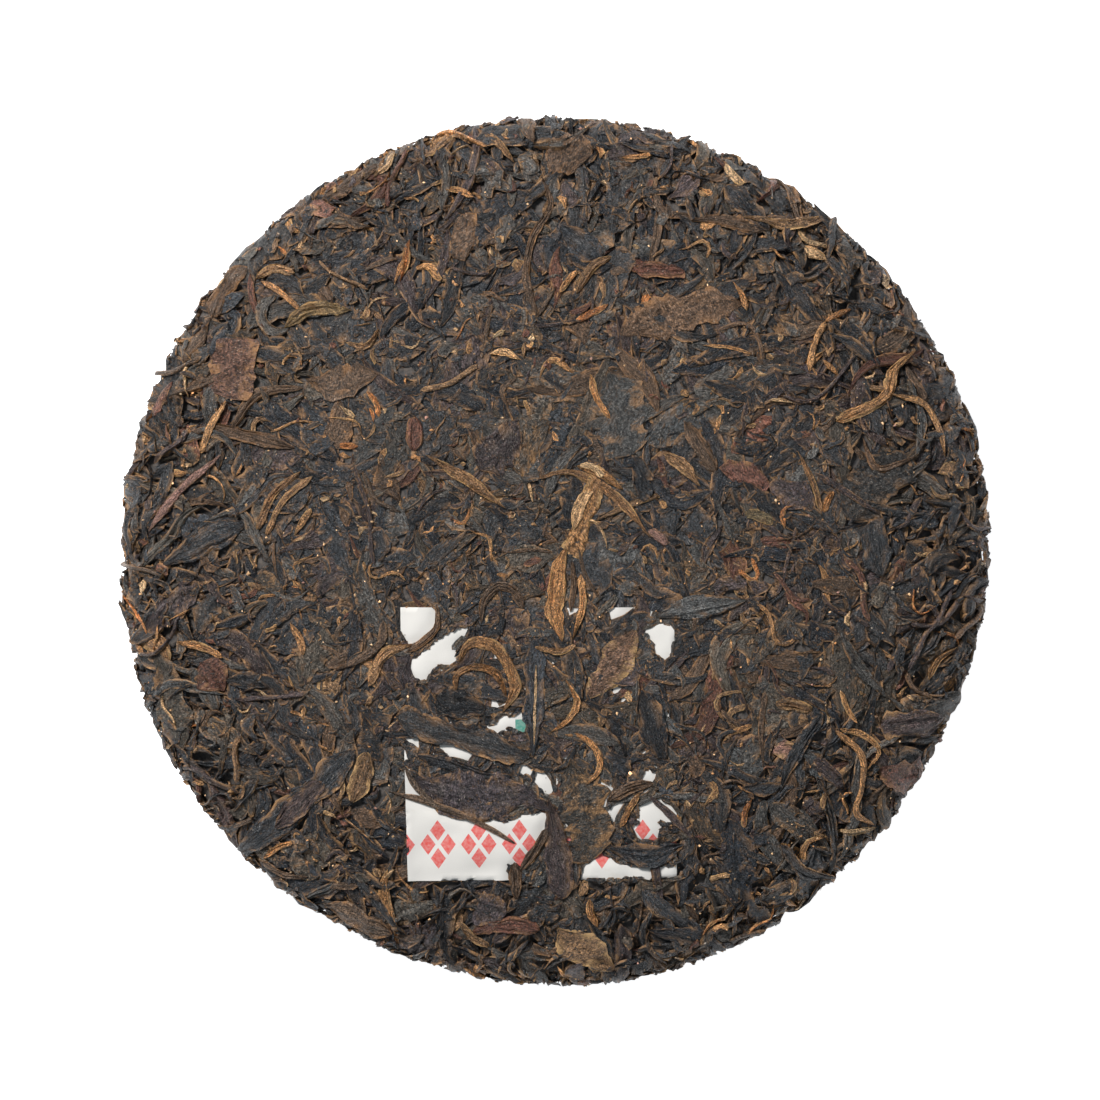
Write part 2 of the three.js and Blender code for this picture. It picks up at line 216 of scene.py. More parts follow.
# Kinds of leaf: length and width, thickness, how round and how folded the section is, its raised
# midrib, how much it bends, sways and kinks, over what share of the length an end narrows, how
# slanted the ends are, how ragged the edges, how stiff it lies, how its edges curl, how torn the
# edges and how crinkled the blade, how close the pattern of its surface runs along and across it,
# the number of points across it, and the spacing of points along it.
FORMS = {
    "broad": dict(length=(12, 27), width=(5.5, 12), thick=0.34, round=0.2, folds=0.5, rib=0.5,
                  bend=0.35, sway=0.12, kink=0.0, ends=(0.2, 0.6), slant=0.5, ragged=0.26,
                  stiff=0.25, curl=0.6, torn=0.6, crinkle=0.25, weave=(1.5, 0.5), across=11, step=1.5),
    "strip": dict(length=(10, 29), width=(2.0, 5.8), thick=0.55, round=0.6, folds=0.75, rib=0.0,
                  bend=0.6, sway=0.22, kink=0.3, ends=(0.12, 0.7), slant=0.5, ragged=0.2,
                  stiff=0.55, curl=0.25, torn=0.35, crinkle=0.14, weave=(1, 1), across=7, step=1.55),
    "chip": dict(length=(3.2, 9), width=(1.5, 5.0), thick=0.26, round=0.3, folds=0.5, rib=0.0,
                 bend=0.3, sway=0.1, kink=0.2, ends=(0.05, 0.5), slant=0.9, ragged=0.35,
                 stiff=0.5, curl=0.5, torn=0.6, crinkle=0.25, weave=(1.5, 0.6), across=5, step=1.2),
    "shred": dict(length=(3.5, 13), width=(0.45, 1.7), thick=0.4, round=0.8, folds=0.5, rib=0.0,
                  bend=1.0, sway=0.35, kink=0.4, ends=(0.05, 0.7), slant=0.5, ragged=0.25,
                  stiff=0.6, curl=0.0, torn=0.35, crinkle=0.14, weave=(1, 1), across=4, step=1.1),
    "bit": dict(length=(1.2, 4.2), width=(0.5, 1.6), thick=0.3, round=0.7, folds=0.6, rib=0.0,
                bend=0.6, sway=0.2, kink=0.4, ends=(0.05, 0.6), slant=0.8, ragged=0.35,
                stiff=0.5, curl=0.3, torn=0.6, crinkle=0.2, weave=(1, 1), across=4, step=0.8),
    "sheet": dict(length=(8, 16), width=(5, 9), thick=0.36, round=0.2, folds=0.6, rib=0.3,
                  bend=0.2, sway=0.1, kink=0.0, ends=(0.02, 0.06), slant=0.3, ragged=0.2,
                  stiff=0.3, curl=0.5, torn=0.4, crinkle=0.25, weave=(1.5, 0.5), across=11, step=1.3),
    "stem": dict(length=(9, 24), width=(0.8, 1.5), thick=0.7, round=1.1, folds=0.15, rib=0.0,
                 bend=0.45, sway=0.2, kink=0.3, ends=(0.02, 0.1), slant=0.4, ragged=0.08,
                 stiff=0.85, curl=0.0, torn=0.3, crinkle=0.08, weave=(1, 1), across=5, step=1.5),
}

# Colours as they look in the photo, with how often each comes up.
COLOURS = {
    "dark": (58, 59, 61),
    "black": (43, 45, 49),
    "slate": (88, 85, 81),
    "moss": (86, 79, 70),
    "plum": (73, 61, 60),
    "umber": (98, 77, 60),
    "mottled": (74, 66, 58),
    "copper": (124, 94, 74),
    "bark": (94, 68, 56),
    "russet": (110, 71, 57),
    "olive": (128, 106, 74),
    "bronze": (148, 111, 77),
    "golden": (186, 134, 86),
    "amber": (196, 124, 70),
    "tan": (218, 176, 130),
    "rose": (146, 108, 94),
}
# Which colours a kind of leaf has, and how much of each.
DARK_MIX = {"dark": 0.38, "black": 0.24, "slate": 0.17, "moss": 0.09, "plum": 0.12}
LEAF_MIX = {"dark": 0.34, "black": 0.2, "slate": 0.13, "moss": 0.08, "plum": 0.1, "umber": 0.06,
            "mottled": 0.05, "russet": 0.02, "bronze": 0.015, "golden": 0.004}
CHIP_MIX = {"dark": 0.34, "black": 0.16, "slate": 0.12, "moss": 0.08, "plum": 0.09, "umber": 0.08,
            "mottled": 0.08, "russet": 0.03, "bronze": 0.02, "golden": 0.01}
SHRED_MIX = {"dark": 0.3, "black": 0.1, "slate": 0.08, "plum": 0.07, "umber": 0.12, "russet": 0.04,
             "bronze": 0.12, "golden": 0.12, "amber": 0.03, "tan": 0.035}
STEM_MIX = {"plum": 0.36, "umber": 0.34, "russet": 0.1, "bronze": 0.12, "golden": 0.06, "rose": 0.02}
WALL_MIX = {"dark": 0.3, "black": 0.14, "plum": 0.08, "umber": 0.18, "russet": 0.06, "bronze": 0.12,
            "golden": 0.08, "slate": 0.06, "tan": 0.015}
BIT_MIX = {"dark": 0.25, "black": 0.1, "slate": 0.1, "plum": 0.08, "umber": 0.18, "russet": 0.05,
           "bronze": 0.12, "golden": 0.08, "tan": 0.04}
GOLD = ("golden", "amber", "tan", "olive", "rose", "bronze", "copper")
BROWN = ("umber", "russet", "bark")


def linear(colour):
    """A colour's light from its value as seen on a screen, each from 0 to 255."""
    value = np.asarray(colour, float) / 255
    return np.where(value <= 0.04045, value / 12.92, ((value + 0.055) / 1.055) ** 2.4)


def pick(mix, rng):
    names = list(mix)
    weights = np.array([mix[name] for name in names])
    return names[rng.choice(len(names), p=weights / weights.sum())]


SHADE_SPREAD = 0.2
WARMTH_SPREAD = 0.035
LEAST_SHADE = 0.5


def tinted(name, rng):
    """One of the colours, a little lighter or darker and warmer or cooler."""
    shade = rng.normal(1, SHADE_SPREAD)
    warmth = rng.normal(0, WARMTH_SPREAD)
    tint = np.array([1 + warmth, 1, 1 - warmth])
    return linear(COLOURS[name]) * max(LEAST_SHADE, shade) * tint


def smooth_along(rows, passes):
    """The rows of an array averaged with their neighbours a few times."""
    for _ in range(passes):
        ends = np.concatenate([rows[:1], rows, rows[-1:]])
        rows = (ends[:-2] + 2 * ends[1:-1] + ends[2:]) / 4
    return rows


@functools.lru_cache(maxsize=None)
def finer(coarse, fine):
    """A matrix that reads a row of values at more places, evenly between them."""
    place = np.linspace(0, coarse - 1, fine)
    low = np.minimum(place.astype(int), coarse - 2)
    matrix = np.zeros((fine, coarse))
    matrix[np.arange(fine), low] = 1 - (place - low)
    matrix[np.arange(fine), low + 1] += place - low
    return matrix


@functools.lru_cache(maxsize=None)
def ring_triangles(rings, points):
    """Triangles of a closed strip of rings, whose last two vertices are the tips."""
    ring, side = np.meshgrid(np.arange(rings - 1), np.arange(points), indexing="ij")
    a = (ring * points + side).ravel()
    b = (ring * points + (side + 1) % points).ravel()
    c, d = a + points, b + points
    start = np.arange(points)
    turned = (start + 1) % points
    end = (rings - 1) * points
    first, last = rings * points, rings * points + 1
    tips = [np.stack([np.full(points, first), turned, start], 1),
            np.stack([np.full(points, last), end + start, end + turned], 1)]
    return np.concatenate([np.stack([a, b, c], 1), np.stack([b, d, c], 1), *tips])


def stations(count):
    """Shares of a leaf's length from tip to tip, closer together near the tips."""
    even = np.linspace(0, 1, count + 2)
    return 0.6 * even + 0.4 * (0.5 - 0.5 * np.cos(math.pi * even))


def bent_line(u, v, length, count, form, rng):
    """Points and headings from tip to tip of a leaf whose middle is near (u, v)."""
    share = stations(count)
    heading, phase = rng.uniform(0, 2 * math.pi, 2)
    angle = heading + rng.normal(0, form["bend"]) * (share - 0.5)
    angle = angle + rng.normal(0, form["sway"]) * np.sin(2 * math.pi * share + phase)
    angle = angle + rng.normal(0, form["kink"]) * np.tanh(12 * (share - rng.uniform(0.2, 0.8)))
    middle = (angle[1:] + angle[:-1]) / 2
    step = length * np.diff(share)
    x = np.concatenate([[0], np.cumsum(step * np.cos(middle))])
    y = np.concatenate([[0], np.cumsum(step * np.sin(middle))])
    return u + x - x.mean(), v + y - y.mean(), angle, share, length


def drawn_line(points, count):
    """The same for a leaf that runs through the given points of the face, in pixels of the photo."""
    u, v = from_photo(*np.array(points, float).T)
    if len(u) == 2:
        u = np.array([u[0], (u[0] + u[1]) / 2, u[1]])
        v = np.array([v[0], (v[0] + v[1]) / 2, v[1]])
    chord = np.concatenate([[0], np.cumsum(np.hypot(np.diff(u), np.diff(v)))])
    fine = np.linspace(0, chord[-1], 80)
    slope_u, slope_v = np.gradient(u, chord), np.gradient(v, chord)
    curve_u, curve_v = hermite(chord, u, slope_u, fine), hermite(chord, v, slope_v, fine)
    arc = np.concatenate([[0], np.cumsum(np.hypot(np.diff(curve_u), np.diff(curve_v)))])
    share = stations(count)
    x = np.interp(share * arc[-1], arc, curve_u)
    y = np.interp(share * arc[-1], arc, curve_v)
    angle = np.unwrap(np.arctan2(np.gradient(y), np.gradient(x)))
    return x, y, angle, share, arc[-1]


def hermite(places, values, slopes, at):
    """A smooth curve through values at given places with given slopes."""
    i = np.clip(np.searchsorted(places, at, side="right") - 1, 0, len(places) - 2)
    gap = places[i + 1] - places[i]
    t = (at - places[i]) / gap
    rise = t * t * (3 - 2 * t)
    ease_out, ease_in = t * (1 - t) ** 2, t * t * (t - 1)
    return (values[i] * (1 - rise) + values[i + 1] * rise
            + gap * (ease_out * slopes[i] + ease_in * slopes[i + 1]))


# How every leaf is shaped: the share and width of midribs, the share and depth of tears in an
# edge, how closely it clings to what pokes up under it, how far its keel lies under its bed, in
# thicknesses and in millimetres, and how far its tips lie over the keel.
RIB = {"share": 0.5, "width": 0.16}
TEAR = {"share": 0.1, "depth": 1.5}
CLING = 0.75
KEEL = {"thicknesses": 0.25, "more": 0.1, "tip": 0.2}

# The spacing at which a leaf covers the pile, and how deep under the pile it still shows.
SPLAT_STEP = 0.34
SHOW_DEPTH = 0.25


class Leaf:
    """One leaf on a pile: rings of points across it, which share a keel below and end in tips."""

    def __init__(self, pile, kind, name, line, width, form, rng, thick, lift=0.0):
        x, y, angle, share, self.length = line
        self.pile, self.kind, self.name, self.width = pile, kind, name, width
        self.colour = tinted(name, rng)
        inner = slice(1, -1)
        self.share, points = share[inner], form["across"]
        even = np.linspace(0, math.pi, points)
        self.across = 0.4 * np.cos(even) + 0.6 * np.linspace(1, -1, points)
        self.cycles = 1.5 + self.length / 5
        offset, along, phase = self.outline(form, rng)
        cos, sin = np.cos(angle[inner, None]), np.sin(angle[inner, None])
        self.u = x[inner, None] - sin * offset + cos * along
        self.v = y[inner, None] + cos * offset + sin * along
        bed = self.bed(form)
        self.top = bed + thick * self.section(form, phase, rng)
        self.keel = bed.mean(axis=1) - KEEL["thicknesses"] * thick - KEEL["more"]
        self.tip_u, self.tip_v = x[[0, -1]], y[[0, -1]]
        self.tip = self.keel[[0, -1]] + KEEL["tip"]
        self.middle_u, self.middle_v = x[inner], y[inner]
        self.lift = lift * np.concatenate([np.repeat(self.share**3, points + 1), [0, 1]])
        self.weave = form["weave"]
        self.seed = rng.uniform(0, 1000)
        self.covered = False

    def outline(self, form, rng):
        """How far its points are off the leaf's line and along it, and a phase for its curl."""
        s, across = self.share, self.across
        reach, power = rng.uniform(*form["ends"], 2), rng.uniform(0.45, 1.1, 2)
        taper = np.minimum(1, s / reach[0]) ** power[0]
        taper = taper * np.minimum(1, (1 - s) / reach[1]) ** power[1]
        phases = rng.uniform(0, 2 * math.pi, 4)
        edges = []
        for phase in phases[:2]:
            torn = rng.uniform(-1, 1, len(s)) - TEAR["depth"] * (rng.random(len(s)) < TEAR["share"])
            wave = np.sin(self.cycles * s + phase) + 0.7 * np.sin(2.3 * self.cycles * s + 2 * phase)
            edges.append(1 + form["ragged"] * (0.6 * wave + form["torn"] * torn))
        side = np.where(across[None, :] > 0, edges[0][:, None], edges[1][:, None])
        offset = self.width / 2 * taper[:, None] * side * across[None, :]
        if self.pile.back:
            offset = -offset
        slant = rng.normal(0, form["slant"], 2)
        along = (slant[0] * (1 - s) + slant[1] * s)[:, None] * offset
        return offset, along, phases[3]

    def bed(self, form):
        """The heights it lies on: a stiff leaf bridges dips, and a limp one follows them."""
        ground = self.pile.at(self.u, self.v)
        spine = smooth_along(0.5 * ground.max(axis=1) + 0.5 * ground.mean(axis=1), 2)
        bed = form["stiff"] * spine[:, None] + (1 - form["stiff"]) * smooth_along(ground, 1)
        return bed + CLING * np.maximum(0, ground - bed)

    def section(self, form, phase, rng):
        """How far its points stand over its bed, in thicknesses."""
        s, across = self.share[:, None], self.across
        dome = np.sqrt(np.maximum(0, 1 - across**2))[None, :]
        folds = rng.uniform(-1, 1, (3, len(across)))
        where = 2 * s
        ridges = np.where(where < 1, folds[0] * (1 - where) + folds[1] * where,
                          folds[1] * (2 - where) + folds[2] * (where - 1))
        crinkle = rng.uniform(-1, 1, (len(s), len(across)))
        curl = form["curl"] * np.abs(across) ** 3 * np.sin(self.cycles * s + phase)
        rib = form["rib"] * (rng.random() < RIB["share"]) * np.exp(-((across / RIB["width"]) ** 2))
        shape = form["round"] * dome + form["folds"] * ridges + curl + rib + form["crinkle"] * crinkle
        return 0.5 + (1 - np.abs(2 * s - 1) ** 5) * shape

    def fits(self):
        """Whether it keeps off the places where the paper shows."""
        tips = self.pile.bare[self.pile.cells(self.tip_u, self.tip_v)]
        return not tips.any() and not self.pile.bare[self.pile.cells(self.u, self.v)].any()

    def lay(self, keep_clear=False):
        """Adds it to the pile. What is laid later can be made to keep off it."""
        rows = max(len(self.share), int(self.length / SPLAT_STEP))
        columns = max(len(self.across), int(self.width / SPLAT_STEP))
        along, over = finer(len(self.share), rows), finer(len(self.across), columns).T
        u, v, h = (along @ field @ over for field in (self.u, self.v, self.top))
        self.pile.cover(u, v, h)
        if keep_clear:
            self.pile.bare[self.pile.cells(u, v)] = True

    def shows(self):
        """The share of its points with nothing on top."""
        return (self.pile.at(self.u, self.v) - self.top < SHOW_DEPTH).mean()

    def vertices(self):
        """Every vertex as u, v, height and lift, ring by ring, then the two tips."""
        u = np.concatenate([self.u, self.middle_u[:, None]], axis=1).ravel()
        v = np.concatenate([self.v, self.middle_v[:, None]], axis=1).ravel()
        h = np.concatenate([self.top, self.keel[:, None]], axis=1).ravel()
        u, v = np.concatenate([u, self.tip_u]), np.concatenate([v, self.tip_v])
        h = np.concatenate([h, self.tip])
        if self.covered:
            h = np.minimum(h, self.pile.lid[self.pile.cells(u, v)])
        return np.stack([u, v, h, self.lift], axis=1)

    def looks(self):
        """Every vertex's colour, its place in the leaf's grain, and how near the edge it is."""
        rings, points = len(self.share), len(self.across) + 1
        across = np.concatenate([self.across, [0]])
        grain = np.zeros((rings * points + 2, 3))
        grain[:-2, 0] = np.repeat(self.share * self.length, points) * self.weave[0]
        grain[:-2, 1] = np.tile(across * self.width / 2, rings) * self.weave[1]
        grain[-1, 0] = self.length * self.weave[0]
        grain[:, 2] = self.seed
        edge = np.ones(rings * points + 2)
        edge[:-2] = np.tile(np.abs(across) ** 3, rings)
        tint = np.ones((rings * points + 2, 4))
        tint[:, :3] = self.colour
        return tint, grain, edge


# Strewn leaves: in the firm middle a share of the strips are small broad leaves, near the edge a
# share of the leaves stick up at one tip, and on the wall the leaves are smaller. Where the cake is
# loose they are thicker. Lengths and widths lean to the low end of their ranges by these powers,
# and a leaf is no wider than this share of its length.
FIRM_BROAD = {"share": 0.35, "size": 0.75}
EDGE_TIPS = {"share": 0.3, "lift": 1.0}
WALL_SIZES = {"broad": 0.55, "strip": 0.55, "chip": 0.9, "shred": 0.6, "stem": 0.5, "bit": 0.8}
SHORTER = 1.6
NARROWER = 1.5
WIDEST = 0.7
THICK_SPREAD = (0.75, 1.3)
FIRM_THICK = 0.7
LOOSE_THICK = 0.8
STREWN_RINGS = (4, 18)
BACK_COARSER = {"points": 4, "step": 1.6}


def random_leaf(pile, kind, mix, rng, place=None, size=1.0):
    """A leaf of a kind, at a place or anywhere on the pile."""
    if place is None:
        reach = pile.reach * math.sqrt(rng.random())
        turn = rng.uniform(0, 2 * math.pi)
        place = (reach * math.cos(turn), reach * math.sin(turn))
        if kind == "strip" and reach < FIRM_REACH and rng.random() < FIRM_BROAD["share"]:
            kind, size = "broad", FIRM_BROAD["size"]
        if reach > WALL_REACH and not pile.back:
            size, mix = WALL_SIZES[kind], WALL_MIX
    form = FORMS[kind]
    if pile.back:
        form = dict(form, across=max(4, form["across"] - BACK_COARSER["points"]),
                    step=form["step"] * BACK_COARSER["step"])
    looser = FIRM_THICK + LOOSE_THICK * pile.looseness(*place)
    thick = form["thick"] * rng.uniform(*THICK_SPREAD) * looser
    low, high = form["length"]
    length = (low + (high - low) * rng.random() ** SHORTER) * size
    low, high = form["width"]
    width = min((low + (high - low) * rng.random() ** NARROWER) * size, WIDEST * length)
    count = int(np.clip(length / form["step"], *STREWN_RINGS))
    line = bent_line(*place, length, count, form, rng)
    at_edge = LOOSE_REACH < math.hypot(*place) < WALL_REACH and not pile.back
    lift = EDGE_TIPS["lift"] if at_edge and rng.random() < EDGE_TIPS["share"] else 0.0
    return Leaf(pile, kind, pick(mix, rng), line, width, form, rng, thick, lift)


def strew(pile, plan, rng):
    """Leaves of several kinds in one shuffled order, each laid on what is there already."""
    order = [(kind, mix) for kind, mix, count in plan for _ in range(count)]
    leaves = []
    for index in rng.permutation(len(order)):
        kind, mix = order[index]
        leaf = random_leaf(pile, kind, mix, rng)
        if leaf.fits():
            leaf.lay()
            leaves.append(leaf)
    return leaves


# The ticket's corners and the places where its paper shows, in pixels of the photo.
TICKET_CORNERS = ((401, 607), (675, 608), (676, 877), (408, 881))
PAPER_SHOWS = (
    ((401, 608), (435, 608), (434, 627), (425, 635), (412, 643), (402, 630)),
    ((410, 664), (445, 637), (468, 627), (450, 646), (456, 662), (437, 664), (421, 679)),
    ((609, 622), (613, 609), (633, 607)),
    ((646, 630), (671, 626), (673, 640), (668, 660), (656, 653), (656, 643)),
    ((656, 661), (660, 663), (659, 668)),
    ((674, 679), (678, 679), (677, 684)),
    ((488, 730), (498, 723), (504, 718), (515, 720), (523, 709), (528, 712), (525, 725), (521, 734),
     (517, 726), (506, 726), (499, 731)),
    ((406, 730), (411, 733), (421, 745), (416, 745)),
    ((434, 744), (458, 749), (474, 757), (464, 760), (448, 754)),
    ((393, 744), (408, 754), (405, 759), (393, 757)),
    ((393, 771), (405, 771), (412, 779), (427, 786), (416, 789), (416, 796), (401, 790), (394, 786)),
    ((519, 766), (530, 768), (533, 773), (521, 772)),
    ((534, 773), (543, 774), (549, 781), (554, 795), (542, 788)),
    ((394, 795), (416, 798), (443, 810), (464, 820), (485, 824), (506, 824), (523, 817), (546, 813),
     (545, 826), (540, 845), (527, 862), (519, 876), (514, 862), (503, 864), (508, 878), (408, 881)),
    ((592, 788), (607, 784), (612, 792), (600, 804)),
    ((640, 785), (646, 770), (655, 774), (650, 783)),
    ((607, 810), (616, 802), (622, 803), (613, 813), (612, 818)),
    ((640, 808), (650, 797), (670, 809), (678, 816), (678, 822), (658, 816), (650, 822), (642, 827)),
    ((632, 829), (643, 820), (657, 822), (657, 838), (643, 838)),
    ((664, 850), (675, 842), (678, 852), (667, 855)),
    ((584, 875), (588, 850), (595, 849), (604, 857), (613, 858), (615, 863), (637, 867), (658, 868),
     (678, 864), (678, 873)),
)


def inside_outline(u, v, outline):
    """Which of the points lie inside a closed outline."""
    inside = np.zeros(u.shape, bool)
    for (u0, v0), (u1, v1) in zip(outline, np.roll(outline, -1, axis=0)):
        crosses = (v0 > v) != (v1 > v)
        with np.errstate(divide="ignore", invalid="ignore"):
            inside ^= crosses & (u < (u1 - u0) * (v - v0) / (v1 - v0) + u0)
    return inside


def photo_outline(points):
    return np.stack(from_photo(*np.array(points, float).T), axis=1)


